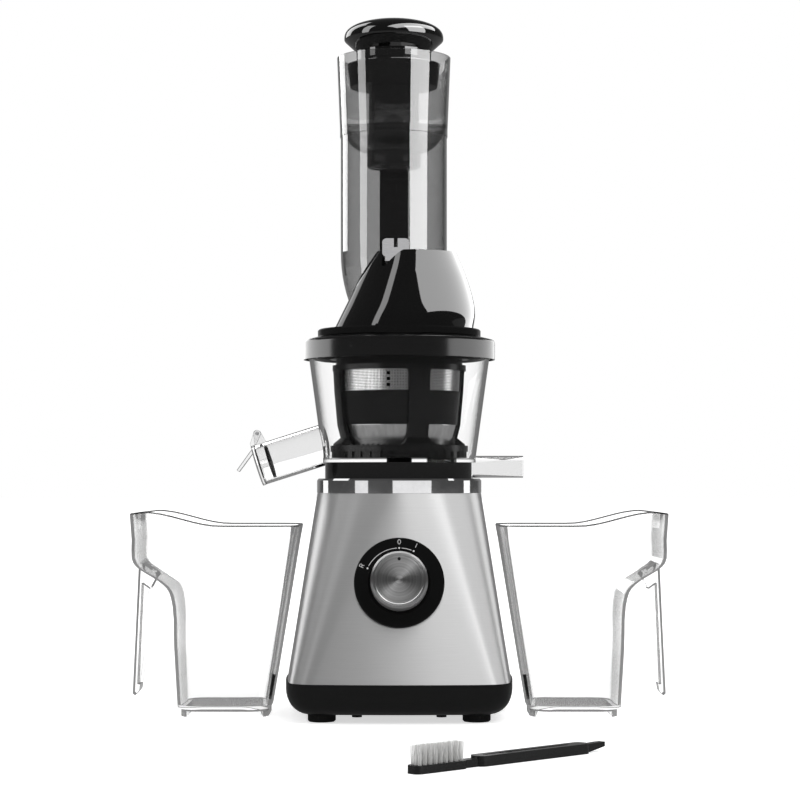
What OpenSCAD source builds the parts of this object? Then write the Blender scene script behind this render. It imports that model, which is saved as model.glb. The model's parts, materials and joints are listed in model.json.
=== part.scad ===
// Cold press juicer: motor base, clear bowl with strainer and auger, lid with feed chute,
// hopper cup and pusher, two jugs and a cleaning brush. Millimetres, +Z up, front towards -Y.
// The origin is on the table, on the axis of the drive shaft.

/* [Motor base] */
// Width and depth of the body at its foot
base_w = 165; // [160:1:185]
// Corner radius of the body at its foot
base_corner_r = 22; // [20:1:28]
// Radius of the bowed sides of the body at its foot
side_bow_r = 620; // [450:10:1200]
// Height of the black base housing above the table
base_h = 28; // [24:1:34]
// Radius of the rounded bottom edge of the base housing
base_edge_r = 16; // [12:1:18]
// Wall of the base housing
base_wall = 3; // [2.4:0.1:4]
// Height of the rubber feet
foot_h = 5.5; // [4:0.5:8]
// Radius of a rubber foot
foot_r = 10; // [8:0.5:12]
// Radius of the steel shell at its top
shell_top_r = 60; // [58:0.5:64]
// Height of the top edge of the steel shell above the table
shell_top_z = 162; // [158:1:176]
// Wall of the steel shell
shell_wall = 1.5; // [1:0.1:2]
// Height of the chrome collar
collar_h = 10.4; // [8:0.2:14]

/* [Dial] */
// Height of the middle of the dial above the table
dial_z = 99; // [94:1:104]
// Radius of the black dial plate
bezel_r = 31.9; // [28:0.1:35]
// Radius of the knob
knob_r = 20.2; // [16:0.1:23]
// How far the knob stands out from the body
knob_h = 22.4; // [18:0.1:26]

/* [Drive] */
// Distance between the drive axis and the countershaft
gear_centres = 32.5; // [32.5]
// Teeth of the motor pinion, module 1
pinion_teeth = 11; // [11]
// Teeth of the large countershaft gear, module 1
counter_teeth = 54; // [54]
// Teeth of the small countershaft gear, module 1.25
counter_pinion_teeth = 12; // [12]
// Teeth of the output gear, module 1.25
output_teeth = 40; // [40]
// Radius of the drive shaft
shaft_r = 6; // [5.5:0.1:6.5]
// Radius of the motor stator
stator_r = 44; // [40:1:48]

/* [Bowl] */
// Height of the black base under the bowl's floor
bowl_base_h = 17.9; // [15:0.1:24]
// How far the bowl's foot stands in from the top of the steel shell
bowl_inset = 4; // [3:0.5:5]
// Outer radius of the bowl under the lid
bowl_top_r = 66; // [64:0.5:68]
// Height of the bowl from its floor to the lid
bowl_h = 75; // [70:1:80]
// Wall of the bowl
bowl_wall = 3; // [2.5:0.1:3.5]
// Outer radius of the juice spout
spout_r = 15; // [13:0.5:15.5]
// Wall of the juice spout
spout_wall = 2; // [1.6:0.1:2.4]
// Length of the juice spout
spout_len = 50.9; // [45:0.1:60]
// Downward tilt of the juice spout in degrees
spout_tilt = 17.6; // [12:0.1:22]
// Reach of the pulp outlet from the axis
pulp_reach = 90.4; // [80:0.1:100]
// Outer width of the pulp outlet
pulp_w = 26; // [22:1:30]

/* [Strainer and auger] */
// Teeth of the auger gear, module 1.5
auger_gear_teeth = 20; // [20]
// Teeth of the idler gear, module 1.5
idler_teeth = 16; // [16]
// Sheet thickness of the steel strainer
strainer_wall = 1; // [0.8:0.1:1.2]
// Number of flights on the auger
auger_flights = 2; // [1:1:3]
// Turns that each flight makes
auger_turns = 1.35; // [1:0.05:1.6]
// Running gap between the flights and the strainer
auger_gap = 0.8; // [0.5:0.1:1.5]
// Angle of the first wiper strut from the front, towards +X
wiper_angle = 18; // [0:1:89]
// Width of a wiper strut
strut_w = 15.5; // [12:0.5:20]

/* [Lid and chute] */
// How far the lid's rim stands out from the bowl
lid_over = 4.3; // [4:0.1:8]
// Height of the lid's vertical rim
lid_rim_h = 10.9; // [9:0.1:14]
// Outer radius of the feed chute
chute_r = 39.5; // [38.5:0.1:41]
// Wall of the feed chute
chute_wall = 2; // [1.6:0.1:2.4]
// Height of the feed chute above the lid
chute_h = 144.5; // [120:0.5:180]
// Sideways place of the chute's axis
chute_x = -4; // [-6:0.5:0]
// Place of the chute's axis behind the drive axis
chute_y = 22; // [20:0.5:24]
// Height of the black dome above the lid
dome_h = 56.5; // [48:0.5:64]
// Wall of the dome
dome_wall = 2.4; // [2:0.1:3]

/* [Hopper cup and pusher] */
// How far the cup's wall leans out between the chute and its rim
cup_flare = 2.2; // [1:0.1:6]
// Height of the cup's rim above the chute's mouth
cup_rise = 59; // [50:1:70]
// Outer radius of the cup's middle tube
cup_tube_r = 18.6; // [16:0.1:20]
// Radius of the pusher's grip
grip_r = 36.9; // [32:0.1:40]

/* [Jugs and brush] */
// Height of a jug at its pouring side
jug_h = 139; // [125:1:150]
// Depth of a jug at its rim
jug_depth = 100; // [80:1:110]
// Wall of a jug
jug_wall = 2.2; // [1.8:0.1:3]
// How far a jug's rim reaches in over the body's foot
jug_overhang = 10.5; // [0:0.5:12]
// Length of the cleaning brush
brush_len = 166; // [150:1:190]

/* [Hidden] */
$fn = 96;
eps = 0.01;
fit = 0.3;          // gap between pieces that come apart
run = 0.05;         // radial gap of a shaft in its bore
hull_fn = 64;

// ---- heights of the stack
shell_z = base_h;
collar_z = shell_top_z;
deck_top_z = collar_z + 4;
bowl_base_z = deck_top_z + fit;
bowl_floor_z = bowl_base_z + bowl_base_h;
bowl_foot_r = shell_top_r - bowl_inset;
lid_r = bowl_top_r + lid_over;
floor_t = 3;
floor_top_z = bowl_floor_z + floor_t;
lid_z = bowl_floor_z + bowl_h + 0.3;
rim_top_z = lid_z + 6.5;
lid_shoulder_z = lid_z + lid_rim_h;
lid_round_r = 2.6;
lid_top_z = lid_shoulder_z + 5.4;
lid_top_r = lid_r - 9.5;
lid_t = 3;
flange_t = 5.7;
flange_top_z = lid_top_z + flange_t;
chute_top_z = flange_top_z + chute_h;
dome_top_z = flange_top_z + dome_h;

// ---- outline of the foot: each side an arc, each corner an arc tangent to both its sides
bow_at = base_w / 2 - side_bow_r;
corner_at = (bow_at + sqrt(2 * pow(side_bow_r - base_corner_r, 2) - bow_at * bow_at)) / 2;
side_turn = asin(corner_at / (side_bow_r - base_corner_r));
foot_angles = [for (q = [0 : 3]) each concat([for (i = [-3 : 3]) 90 * q + side_turn * i / 3],
    [for (i = [1 : 7]) 90 * q + side_turn + (90 - 2 * side_turn) * i / 8])];
// Ledge of the base housing round the foot of the steel shell
shell_ledge = 1.2;

// ---- body slope at the front
body_slope = atan((base_w / 2 - shell_ledge - shell_top_r) / (shell_top_z - shell_z));
dial_y = -(shell_top_r + (shell_top_z - dial_z) * tan(body_slope));

// ---- motor and gears
plate_t = 2.5;
plate_w = base_w - 2 * base_edge_r - 2.6;
motor_z = foot_h + 22.5;
stator_z = motor_z + 10;
deck_z = shell_top_z - 4;
// height between the motor and the deck, for the gearbox
gearbox_room = 64;
motor_top_z = deck_z - gearbox_room;
stator_h = motor_top_z - 10 - stator_z;
rotor_r = 22;
stator_bore_r = rotor_r + 0.6;
motor_shaft_r = 4;
pinion_shaft_r = 3;
bearing_r = 11;
bearing_h = 7;
gearbox_z = motor_top_z + 3;
case_wall = 2.4;
stage1_z = gearbox_z + 4;
stage1_h = 8;
stage2_z = stage1_z + 11.5;
stage2_h = 11;
cover_z = stage2_z + 15.5;
cover_t = 3;
case_r1 = (output_teeth / 2 + 1) * 1.25 + 2 + case_wall;
case_r2 = counter_teeth / 2 + 1.5 + case_wall;
ear_r = 6;
ears = [[35.5, -8], [-35.5, -8], [35.5, 38], [-35.5, 38]];
counter_pin_r = 3;
output_bearing_r = shaft_r + 7;
output_bearing_h = 9;
bush_r = shaft_r + 3;
seal_r = shaft_r + 4;

// ---- bowl inside
wiper_module = 1.5;
idler_x = (auger_gear_teeth + idler_teeth) / 2 * wiper_module;
ring_teeth = auger_gear_teeth + 2 * idler_teeth;
wiper_gear_z = floor_top_z + 1;
wiper_gear_h = 7;
hub_bore_r = shaft_r + 2;
hub_r = hub_bore_r + 2.5;
coupling_r = shaft_r + 4;
hub_top_z = floor_top_z + 7.8;
strainer_z = floor_top_z + 9;
pulp_x = 27;
pulp_hole_r = 8;
pulp_sleeve_wall = 1.5;
base_ring_r = bowl_foot_r - 1.6;
interlock_y = -(base_ring_r - 10.4);
// outline of the strainer's outside: height above its foot and radius
strainer_outline = [[0, 37.7], [15, 41.7], [40, 44], [59, 45]];
auger_z = strainer_z + 3.4;
auger_h = 61;

// ---- spout
spout_start = [-(bowl_foot_r - 2.3), bowl_floor_z + spout_r - 1.4];
cap_pivot = [spout_len - 4.9, spout_r + 7.6];
knuckle_r = 2.6;
cap_pin_r = 1.25;

// ---- dome sections: height, right edge and left edge beyond the chute's radius
dome_sections = [[0, 14.7, 8.5], [0.2, 16.2, 3], [0.35, 15.3, -1.2], [0.68, 10, -10.1], [1, 2.5, -18.9]];
chute_arc_r = 110;
chute_flare_h = 58.5;
chute_arc_z = flange_top_z + chute_flare_h;

// ---- cup
cup_seat_z = chute_top_z + 5.3;
cup_rim_z = chute_top_z + cup_rise;
cup_low_r = chute_r + 0.5;
cup_rim_r = cup_low_r + cup_flare;
cup_wall = 2;
skirt_wall = 1.8;
cup_bottom_z = cup_seat_z - 16;
cup_arc_h = 28;
tube_top_z = cup_seat_z + 31.1;
neck_z = cup_seat_z - 27.8;
pusher_seat_z = tube_top_z + 0.4;

// ================= helpers =================

// Square with round corners, centred, as exact arcs.
module rounded_square(w, d, r) {
    square([w - 2 * r, d], center = true);
    square([w, d - 2 * r], center = true);
    for (x = [-1, 1], y = [-1, 1])
        translate([x * (w / 2 - r), y * (d / 2 - r)]) circle(r);
}

module tube(r_out, r_in, h) {
    difference() {
        cylinder(h = h, r = r_out);
        translate([0, 0, -1]) cylinder(h = h + 2, r = r_in);
    }
}

// Places a child, drawn with +Z outwards, on the sloped front at the dial's middle.
module on_front() {
    translate([0, dial_y, dial_z]) rotate([90 - body_slope, 0, 0]) children();
}

// Points of a gear with straight-sided teeth. half_root and half_tip are shares of the pitch.
function gear_points(teeth, r_root, r_tip, half_root, half_tip, phase) =
    let (p = 360 / teeth)
    [for (k = [0 : teeth - 1], c = [[r_root, -half_root], [r_tip, -half_tip], [r_tip, half_tip], [r_root, half_root]])
        c[0] * [cos(phase + p * (k + c[1])), sin(phase + p * (k + c[1]))]];

module gear(teeth, m, h, phase) {
    linear_extrude(h)
        polygon(gear_points(teeth, (teeth / 2 - 1.15) * m, (teeth / 2 + 0.9) * m, 0.33, 0.11, phase));
}

// The hollow of an internal gear, with one of its teeth centred on the angle phase.
module ring_gear_hollow(teeth, m, h, phase) {
    linear_extrude(h)
        polygon(gear_points(teeth, (teeth / 2 - 0.9) * m, (teeth / 2 + 1.15) * m, 0.39, 0.17,
            phase + 180 / teeth));
}

// Closed solid through rings of equally many points, each counter-clockwise seen from above.
module loft(rings) {
    n = len(rings[0]);
    m = len(rings);
    polyhedron(
        points = [for (ring = rings) each ring],
        faces = concat(
            [[for (j = [0 : n - 1]) j]],
            [for (i = [0 : m - 2], j = [0 : n - 1])
                [i * n + j, (i + 1) * n + j, (i + 1) * n + (j + 1) % n, i * n + (j + 1) % n]],
            [[for (j = [n - 1 : -1 : 0]) (m - 1) * n + j]]));
}

// Radius of a stepped outline at height z, by straight lines between its points.
function outline_r(points, z, i = 0) =
    i >= len(points) - 2 || z <= points[i + 1][0]
        ? points[i][1] + (z - points[i][0]) * (points[i + 1][1] - points[i][1]) / (points[i + 1][0] - points[i][0])
        : outline_r(points, z, i + 1);

// Points of an arc: centre, radius, first and last angle.
function arc(c, r, a0, a1, n = 12) =
    [for (i = [0 : n]) let (a = a0 + (a1 - a0) * i / n) c + r * [cos(a), sin(a)]];

// ================= motor base =================

foot_at = base_w / 2 - base_edge_r - foot_r - 1.5;

module feet() color("#1b1b1b") for (x = [-1, 1], y = [-1, 1])
    translate([x * foot_at, y * foot_at, 0])
        rotate_extrude() polygon([[0, 0], [foot_r - 1, 0], [foot_r, 1], [foot_r, foot_h],
            [4, foot_h], [4, foot_h + plate_t + 1.5], [0, foot_h + plate_t + 1.5]]);

// Point of the foot's outline whose outward direction is the angle a, drawn in by inset.
function foot_point(a, inset) =
    let (q = 90 * round(a / 90), on_side = abs(a - q) <= side_turn + eps,
        far = on_side ? bow_at : corner_at * sqrt(2), way = on_side ? q : q + (a > q ? 45 : -45))
    far * [cos(way), sin(way)] + ((on_side ? side_bow_r : base_corner_r) - inset) * [cos(a), sin(a)];
function foot_ring(inset, z) = [for (a = foot_angles) let (p = foot_point(a, inset)) [p[0], p[1], z]];

// Outer form of the base housing, drawn in by inset all round; its open top reaches over.
module base_form(inset, over) {
    edge = base_edge_r - inset;
    loft(concat(
        [for (a = [0 : 15 : 90]) foot_ring(inset + edge * (1 - sin(a)), foot_h + inset + edge * (1 - cos(a)))],
        [foot_ring(inset, base_h + over)]));
}

screw_at = [for (x = [-30, 30], y = [-1, 1]) [x, y * (plate_w / 2 - 8)]];

module base_housing() color("#1f1f20") {
    difference() {
        union() {
            difference() {
                base_form(0, 0);
                base_form(base_wall, 1);
                translate([0, 0, foot_h - 1])
                    linear_extrude(base_wall + 2) rounded_square(plate_w + 0.4, plate_w + 0.4, 10);
            }
            // bosses for the base screws, each tied to the nearer wall by a rib
            for (p = screw_at) {
                translate([p[0], p[1], foot_h + plate_t]) cylinder(h = base_h - foot_h - plate_t, r = 5);
                translate([p[0] - 1.5, p[1] > 0 ? p[1] : -base_w / 2 + base_wall - 0.5, base_h - 12])
                    cube([3, base_w / 2 - base_wall + 0.5 - abs(p[1]), 12]);
            }
        }
        for (p = screw_at) translate([p[0], p[1], foot_h]) cylinder(h = 16, r = 1.8);
        translate([0, base_w / 2 + 1, cord_z]) rotate([90, 0, 0]) cylinder(h = base_wall + 4, r = 6.2);
    }
}

cord_z = 18;
grommet_r = 6;
cord_hole_r = 4;

module cord_grommet() color("#161616") translate([0, base_w / 2 + 2, cord_z]) rotate([90, 0, 0])
    difference() {
        union() {
            cylinder(h = 2, r = grommet_r + 2);
            cylinder(h = base_wall + 4, r = grommet_r);
        }
        translate([0, 0, -1]) cylinder(h = base_wall + 6, r = cord_hole_r);
    }

module base_plate() color("#242424") difference() {
    translate([0, 0, foot_h]) linear_extrude(plate_t) rounded_square(plate_w, plate_w, 10);
    for (x = [-1, 1], y = [-1, 1]) translate([x * foot_at, y * foot_at, foot_h - 1]) cylinder(h = 6, r = 4);
    for (p = screw_at) translate([p[0], p[1], foot_h - 1]) cylinder(h = 6, r = 2.1);
    // air slots under the fan
    for (i = [-4 : 4]) translate([i * 7 - 1.5, -22, foot_h - 1]) cube([3, 44, plate_t + 2]);
}

module base_screws() color("#9a9ca0") for (p = screw_at) translate([p[0], p[1], foot_h - 2.2]) {
    cylinder(h = 2.2, r = 3.6);
    cylinder(h = 14, r = 1.8);
}

// Loft from the bowed square foot to the round top, drawn in by inset; each edge of it joins
// two points with the same outward direction.
module shell_form(inset, over) loft([
    foot_ring(shell_ledge + inset, shell_z - over),
    [for (a = foot_angles) [(shell_top_r - inset) * cos(a), (shell_top_r - inset) * sin(a), shell_top_z + over]]]);

module body_shell() color("#b9bbbd") difference() {
    shell_form(0, 0);
    shell_form(shell_wall, 0.2);
    on_front() translate([0, 0, -8]) cylinder(h = 14, r = bezel_r - 1.9);
}

module collar() color("#d8dadc") translate([0, 0, collar_z]) rotate_extrude()
    polygon([[shell_top_r - 4, 0], [shell_top_r + 0.3, 0], [shell_top_r + 0.3, collar_h - 1.4],
        [shell_top_r - 0.9, collar_h], [shell_top_r - 2.6, collar_h], [shell_top_r - 4, collar_h - 1.4]]);

module top_deck() color("#202022") difference() {
    union() {
        translate([0, 0, deck_z]) cylinder(h = 4, r = shell_top_r - 2);
        translate([0, 0, deck_z]) cylinder(h = deck_top_z - deck_z, r = shell_top_r - 4.2);
        // locating ring with three slots for the ribs of the bowl base
        difference() {
            translate([0, 0, deck_top_z]) tube(base_ring_r - 4, base_ring_r - 7, 3.2);
            for (a = [90, 210, 330]) rotate([0, 0, a])
                translate([base_ring_r - 14.4, -3, deck_top_z]) cube([12, 6, 5]);
        }
        translate([0, 0, deck_z - 7]) cylinder(h = 8, r = bush_r + 4);
        for (e = ears) translate([e[0], e[1], cover_z + cover_t]) cylinder(h = deck_z - cover_z - cover_t + 1, r = 4.6);
    }
    translate([0, 0, deck_z - 8]) cylinder(h = 11, r = bush_r);
    translate([0, 0, deck_z]) cylinder(h = 20, r = shaft_r + 0.5);
    translate([0, 0, deck_top_z - 4]) cylinder(h = 5, r = seal_r);
    for (e = ears) translate([e[0], e[1], cover_z]) cylinder(h = 18, r = 1.8);
    translate([0, interlock_y, deck_z - 1]) cylinder(h = 12, r = 1.9);
}

module deck_bush() color("#b08d57") translate([0, 0, deck_z - 7]) tube(bush_r, shaft_r + run, 9.5);

module shaft_seal() color("#151515") translate([0, 0, deck_top_z - 4]) tube(seal_r, shaft_r + fit, 3.6);

module interlock_switch() color("#30343a") {
    translate([-10, interlock_y - 3.2, deck_z - 10]) cube([20, 6.4, 10]);
    translate([0, interlock_y, deck_z - 1]) cylinder(h = deck_top_z - deck_z + 2.5, r = 1.6);
}

// ================= dial =================

// Dial plate: a plug in the shell's hole, with a rim whose back follows the bowed shell.
module dial_bezel() color("#0e0e0f") difference() {
    on_front() difference() {
        rotate_extrude() polygon([[0, -3.4], [bezel_r - 2.2, -3.4], [bezel_r - 2.2, -2.2], [bezel_r, -2.2],
            [bezel_r, 1.5], [bezel_r - 0.8, 2.2], [knob_r + 1.6, 2.2], [knob_r + 1, 1.4], [0, 1.4]]);
        translate([0, 0, -4]) cylinder(h = 8, r = 6);
    }
    difference() {
        shell_form(-0.03, 0);
        on_front() translate([0, 0, -8]) cylinder(h = 14, r = bezel_r - 2.1);
    }
}

module selector_switch() color("#3a3d42") on_front() difference() {
    union() {
        translate([-15, -15, -20]) cube([30, 30, 16.5]);
        translate([0, 0, -3.5]) cylinder(h = 2.5, r = 5.8);
        for (x = [-9, 0, 9]) translate([x - 2.5, -4, -27]) cube([5, 0.8, 8]);
    }
    translate([0, 0, -9]) cylinder(h = 12, r = 3 + run);
}

module switch_spindle() color("#8d9094") on_front() translate([0, 0, -8.5]) cylinder(h = 8.5 + knob_h - 8, r = 3);

module knob_core() color("#181818") on_front() difference() {
    translate([0, 0, 2.9]) cylinder(h = knob_h - 0.9 - 2.9, r = knob_r - 0.85);
    translate([0, 0, 1]) cylinder(h = knob_h - 9, r = 3);
    // hollow between hub and rim
    translate([0, 0, 2]) difference() {
        cylinder(h = 11, r = knob_r - 3.4);
        translate([0, 0, -1]) cylinder(h = 13, r = 6);
    }
}

module knob_cap() color("#c9cbcd") on_front() rotate_extrude() polygon([
    [knob_r - 0.8, 2.8], [knob_r, 2.8], [knob_r - 0.2, knob_h - 1.6], [knob_r - 1.6, knob_h],
    [knob_r - 3, knob_h], [knob_r - 3.4, knob_h - 0.3], [0, knob_h - 0.3], [0, knob_h - 0.8],
    [knob_r - 0.8, knob_h - 0.8]]);

// ================= motor =================

module motor_bracket() rotate_extrude() polygon([[bearing_r, -1.5], [bearing_r + 2.5, -1.5],
    [bearing_r + 2.5, 0], [stator_r, 0], [stator_r, 10], [stator_r - 3, 10], [stator_r - 3, 3],
    [bearing_r + 2.5, 3], [bearing_r + 2.5, 5.5], [bearing_r, 5.5]]);

module motor_brackets() color("#a9abad") {
    translate([0, 0, motor_z]) motor_bracket();
    translate([0, 0, motor_top_z]) mirror([0, 0, 1]) motor_bracket();
}

module stator() color("#6f7276") translate([0, 0, stator_z]) difference() {
    cylinder(h = stator_h, r = stator_r);
    translate([0, 0, -1]) cylinder(h = stator_h + 2, r = stator_bore_r);
    for (a = [0 : 45 : 315]) rotate([0, 0, a]) translate([stator_bore_r + 5, 0, -1])
        cylinder(h = stator_h + 2, r = 3.4);
}

module windings() color("#b4602c") for (z = [motor_z + 3.8, stator_z + stator_h])
    translate([0, 0, z]) rotate_extrude() translate([25, 0]) square([13, 6.2]);

module bearings() color("#c2c4c6") {
    for (z = [motor_z - 1.5, motor_top_z + 1.5 - bearing_h])
        translate([0, 0, z]) tube(bearing_r, motor_shaft_r + run, bearing_h);
    translate([0, 0, cover_z]) tube(output_bearing_r, shaft_r + run, output_bearing_h);
}

module rotor() color("#8a8c8f") translate([0, 0, stator_z]) tube(rotor_r, motor_shaft_r, stator_h);

// Shaft with the motor pinion cut on its upper end.
module rotor_shaft() color("#c7c9cb") {
    translate([0, 0, motor_z - 15]) cylinder(h = gearbox_z + 3.5 - motor_z + 15, r = motor_shaft_r);
    translate([0, 0, gearbox_z + 3.5]) cylinder(h = stage1_z - gearbox_z - 3.5 + 1, r = pinion_shaft_r);
    translate([0, 0, stage1_z]) gear(pinion_teeth, 1, stage1_h, 90);
}

module cooling_fan() color("#e3e1da") translate([0, 0, motor_z - 14]) {
    tube(9, motor_shaft_r, 9);
    translate([0, 0, 7.5]) tube(36, 8.5, 1.5);
    for (a = [0 : 40 : 320]) rotate([0, 0, a]) translate([8, -0.9, 0]) cube([27, 1.8, 8]);
}

// ================= gearbox =================

module case_outline(grow) {
    hull() {
        circle(case_r1 + grow);
        translate([0, gear_centres]) circle(case_r2 + grow);
    }
}

module gearbox_housing() color("#8f9296") difference() {
    union() {
        translate([0, 0, gearbox_z]) linear_extrude(cover_z - gearbox_z) case_outline(0);
        for (e = ears) translate([e[0], e[1], cover_z - 8]) cylinder(h = 8, r = ear_r);
        // pads down to the motor's upper bracket
        for (a = [20, 160, 200, 340]) rotate([0, 0, a])
            translate([25, 0, motor_top_z]) cylinder(h = 4, r = 4);
    }
    translate([0, 0, gearbox_z + 3]) linear_extrude(cover_z - gearbox_z) case_outline(-case_wall);
    translate([0, 0, gearbox_z - 1]) cylinder(h = 5, r = motor_shaft_r + 1);
    translate([0, gear_centres, gearbox_z + 1]) cylinder(h = 4, r = counter_pin_r);
    for (e = ears) translate([e[0], e[1], cover_z - 9]) cylinder(h = 10, r = 2.2);
}

module gearbox_cover() color("#9b9ea2") difference() {
    union() {
        translate([0, 0, cover_z]) linear_extrude(cover_t) case_outline(0);
        for (e = ears) translate([e[0], e[1], cover_z]) cylinder(h = cover_t, r = ear_r);
        translate([0, 0, cover_z - 2]) cylinder(h = output_bearing_h + 4, r = output_bearing_r + 3);
        translate([0, gear_centres, cover_z - 2]) cylinder(h = 3, r = 7);
    }
    translate([0, 0, cover_z - 3]) cylinder(h = output_bearing_h + 10, r = output_bearing_r);
    translate([0, gear_centres, cover_z - 3]) cylinder(h = 4.5, r = counter_pin_r);
    for (e = ears) translate([e[0], e[1], cover_z - 1]) cylinder(h = cover_t + 2, r = 2.2);
}

module gearbox_screws() color("#b5b7ba") for (e = ears) translate([e[0], e[1], cover_z - 8]) {
    translate([0, 0, -2.6]) cylinder(h = 2.6, r = 3.6);
    cylinder(h = 22, r = 1.8);
}

module countershaft_pin() color("#c7c9cb") translate([0, gear_centres, gearbox_z + 1])
    cylinder(h = cover_z - gearbox_z + 0.5, r = counter_pin_r);

module countershaft_gear() color("#d9d4c3") translate([0, gear_centres, 0]) difference() {
    union() {
        translate([0, 0, stage1_z]) gear(counter_teeth, 1, stage1_h, 270 + 180 / counter_teeth);
        translate([0, 0, stage1_z + stage1_h]) cylinder(h = stage2_z - stage1_z - stage1_h, r = 5.5);
        translate([0, 0, stage2_z]) gear(counter_pinion_teeth, 1.25, stage2_h, 270);
    }
    translate([0, 0, gearbox_z]) cylinder(h = 40, r = counter_pin_r + run);
}

module output_gear() color("#d9d4c3") translate([0, 0, stage2_z]) difference() {
    gear(output_teeth, 1.25, stage2_h, 90 + 180 / output_teeth);
    translate([0, 0, -1]) cylinder(h = stage2_h + 2, r = shaft_r);
    // lightening recess under the web
    translate([0, 0, -1]) difference() {
        cylinder(h = 4, r = 20);
        translate([0, 0, -1]) cylinder(h = 6, r = 10);
    }
}

hex_z = bowl_base_z + 5;
hex_r = shaft_r - 0.1;
shaft_top_z = auger_z + 22;

module drive_shaft() color("#cfd1d3") {
    translate([0, 0, stage2_z]) cylinder(h = hex_z - stage2_z, r = shaft_r);
    translate([0, 0, hex_z]) cylinder(h = shaft_top_z - hex_z, r = hex_r, $fn = 6);
}

// ================= bowl =================

// Everything within the outside of the bowl and its base, with a gap g.
module bowl_envelope(g) rotate_extrude() polygon([[0, bowl_base_z - 1], [base_ring_r + g, bowl_base_z - 1],
    [base_ring_r + g, bowl_floor_z], [bowl_foot_r + g, bowl_floor_z],
    [bowl_foot_r + g, bowl_floor_z + 2], [bowl_top_r + g, lid_z], [0, lid_z]]);

// Drawn with +X along the spout towards its mouth and +Y upwards across it.
module along_spout() {
    translate([spout_start[0], 0, spout_start[1]]) rotate([0, -spout_tilt, 0]) mirror([1, 0, 0])
        rotate([90, 0, 0]) children();
}

module spout_bore(r, from, to) along_spout() translate([from, 0, 0]) rotate([0, 90, 0]) cylinder(h = to - from, r = r);

module bowl() color([0.86, 0.88, 0.9, 0.35]) difference() {
    union() {
        rotate_extrude() polygon([[hub_bore_r, bowl_floor_z], [bowl_foot_r, bowl_floor_z],
            [bowl_foot_r, bowl_floor_z + 2], [bowl_top_r, lid_z - 0.2], [bowl_top_r + 0.8, lid_z + 0.6],
            [bowl_top_r + 0.8, rim_top_z], [bowl_top_r + 0.8 - bowl_wall, rim_top_z],
            [bowl_top_r - bowl_wall, lid_z - 0.2], [bowl_foot_r - bowl_wall, floor_top_z],
            [hub_r, floor_top_z], [hub_r, hub_top_z], [hub_bore_r, hub_top_z]]);
        // bayonet lugs under the lid's rim
        for (a = [30, 150, 270]) rotate([0, 0, a - 8]) rotate_extrude(angle = 16)
            translate([bowl_top_r, lid_z + 1.2]) square([2.1, 2.4]);
    }
    intersection() {
        spout_bore(spout_r - spout_wall, -20, 20);
        translate([-100, -50, floor_top_z]) cube([80, 100, 50]);
    }
    translate([pulp_x, 0, bowl_floor_z - 1]) cylinder(h = floor_t + 2, r = pulp_hole_r + pulp_sleeve_wall + 0.1);
}

module bowl_base() color("#141415") difference() {
    union() {
        translate([0, 0, bowl_base_z]) tube(base_ring_r, base_ring_r - 3, bowl_floor_z - bowl_base_z);
        translate([0, 0, bowl_floor_z - floor_t]) tube(base_ring_r - 1, hub_bore_r, floor_t);
        translate([0, 0, bowl_base_z + 1]) tube(hub_bore_r + 3, hub_bore_r, bowl_floor_z - bowl_base_z - 1);
        for (a = [90, 210, 330]) rotate([0, 0, a])
            translate([hub_bore_r + 2, -1.2, bowl_base_z + 1]) cube([base_ring_r - hub_bore_r - 4, 2.4, bowl_floor_z - bowl_base_z - 2]);
    }
    translate([pulp_x - 10, -pulp_w / 2 - fit, pulp_z - fit]) cube([60, pulp_w + 2 * fit, 30]);
}

module hub_seal() color("#3c3c3e") translate([0, 0, bowl_floor_z]) tube(hub_bore_r, shaft_r + fit, 4);

// Clear tube that leans down to the left, with two ears for the cap.
module juice_spout() color([0.86, 0.88, 0.9, 0.35]) difference() {
    union() {
        spout_bore(spout_r, -8, spout_len);
        along_spout() for (y = [2.4, -4.6]) translate([0, 0, y]) linear_extrude(2.2) hull() {
            translate(cap_pivot) circle(knuckle_r);
            translate([cap_pivot[0] - 4.5, spout_r - 2.4]) square([9, 1.4]);
        }
    }
    spout_bore(spout_r - spout_wall, -20, spout_len + 1);
    // bevelled lip
    along_spout() translate([spout_len - 0.8, 0, 0]) rotate([0, 90, 0])
        cylinder(h = 1.6, r1 = spout_r - spout_wall, r2 = spout_r - spout_wall + 1.6);
    bowl_envelope(0.1);
    along_spout() translate([cap_pivot[0], cap_pivot[1], -10]) cylinder(h = 20, r = cap_pin_r);
}

module cap_pin() color("#d0d2d4") along_spout() translate([cap_pivot[0], cap_pivot[1], -4.6])
    cylinder(h = 9.2, r = cap_pin_r);

module spout_cap() color([0.86, 0.88, 0.9, 0.35]) along_spout() {
    translate([spout_len + fit, 0, 0]) rotate([0, 90, 0]) cylinder(h = 2, r = spout_r + 0.2);
    // stem to the silicone plug inside the tube
    translate([spout_len - 6.9, 0, 0]) rotate([0, 90, 0]) cylinder(h = 8, r = 3);
    // arm up to the hinge
    difference() {
        translate([0, 0, -2]) linear_extrude(4) hull() {
            translate(cap_pivot) circle(knuckle_r);
            translate([spout_len + fit, spout_r - 2]) square([2, 4]);
        }
        translate([cap_pivot[0], cap_pivot[1], -5]) cylinder(h = 10, r = cap_pin_r + run);
        translate([spout_len - 12, 0, 0]) rotate([0, 90, 0]) cylinder(h = 12.2, r = spout_r + fit);
    }
    // thumb lever
    translate([0, 0, -6]) linear_extrude(12) polygon([[spout_len + 2.2, 12.6], [spout_len + 2.2, 9.8],
        [spout_len + 16, -0.2], [spout_len + 17.2, 1.4]]);
}

module cap_plug() color("#171717") along_spout() translate([spout_len - 8.9, 0, 0]) rotate([0, 90, 0])
    cylinder(h = 2, r = spout_r - spout_wall - 1);

pulp_z = bowl_floor_z - 11.2;
pulp_h = 16;
pulp_wall = 2.5;

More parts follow.
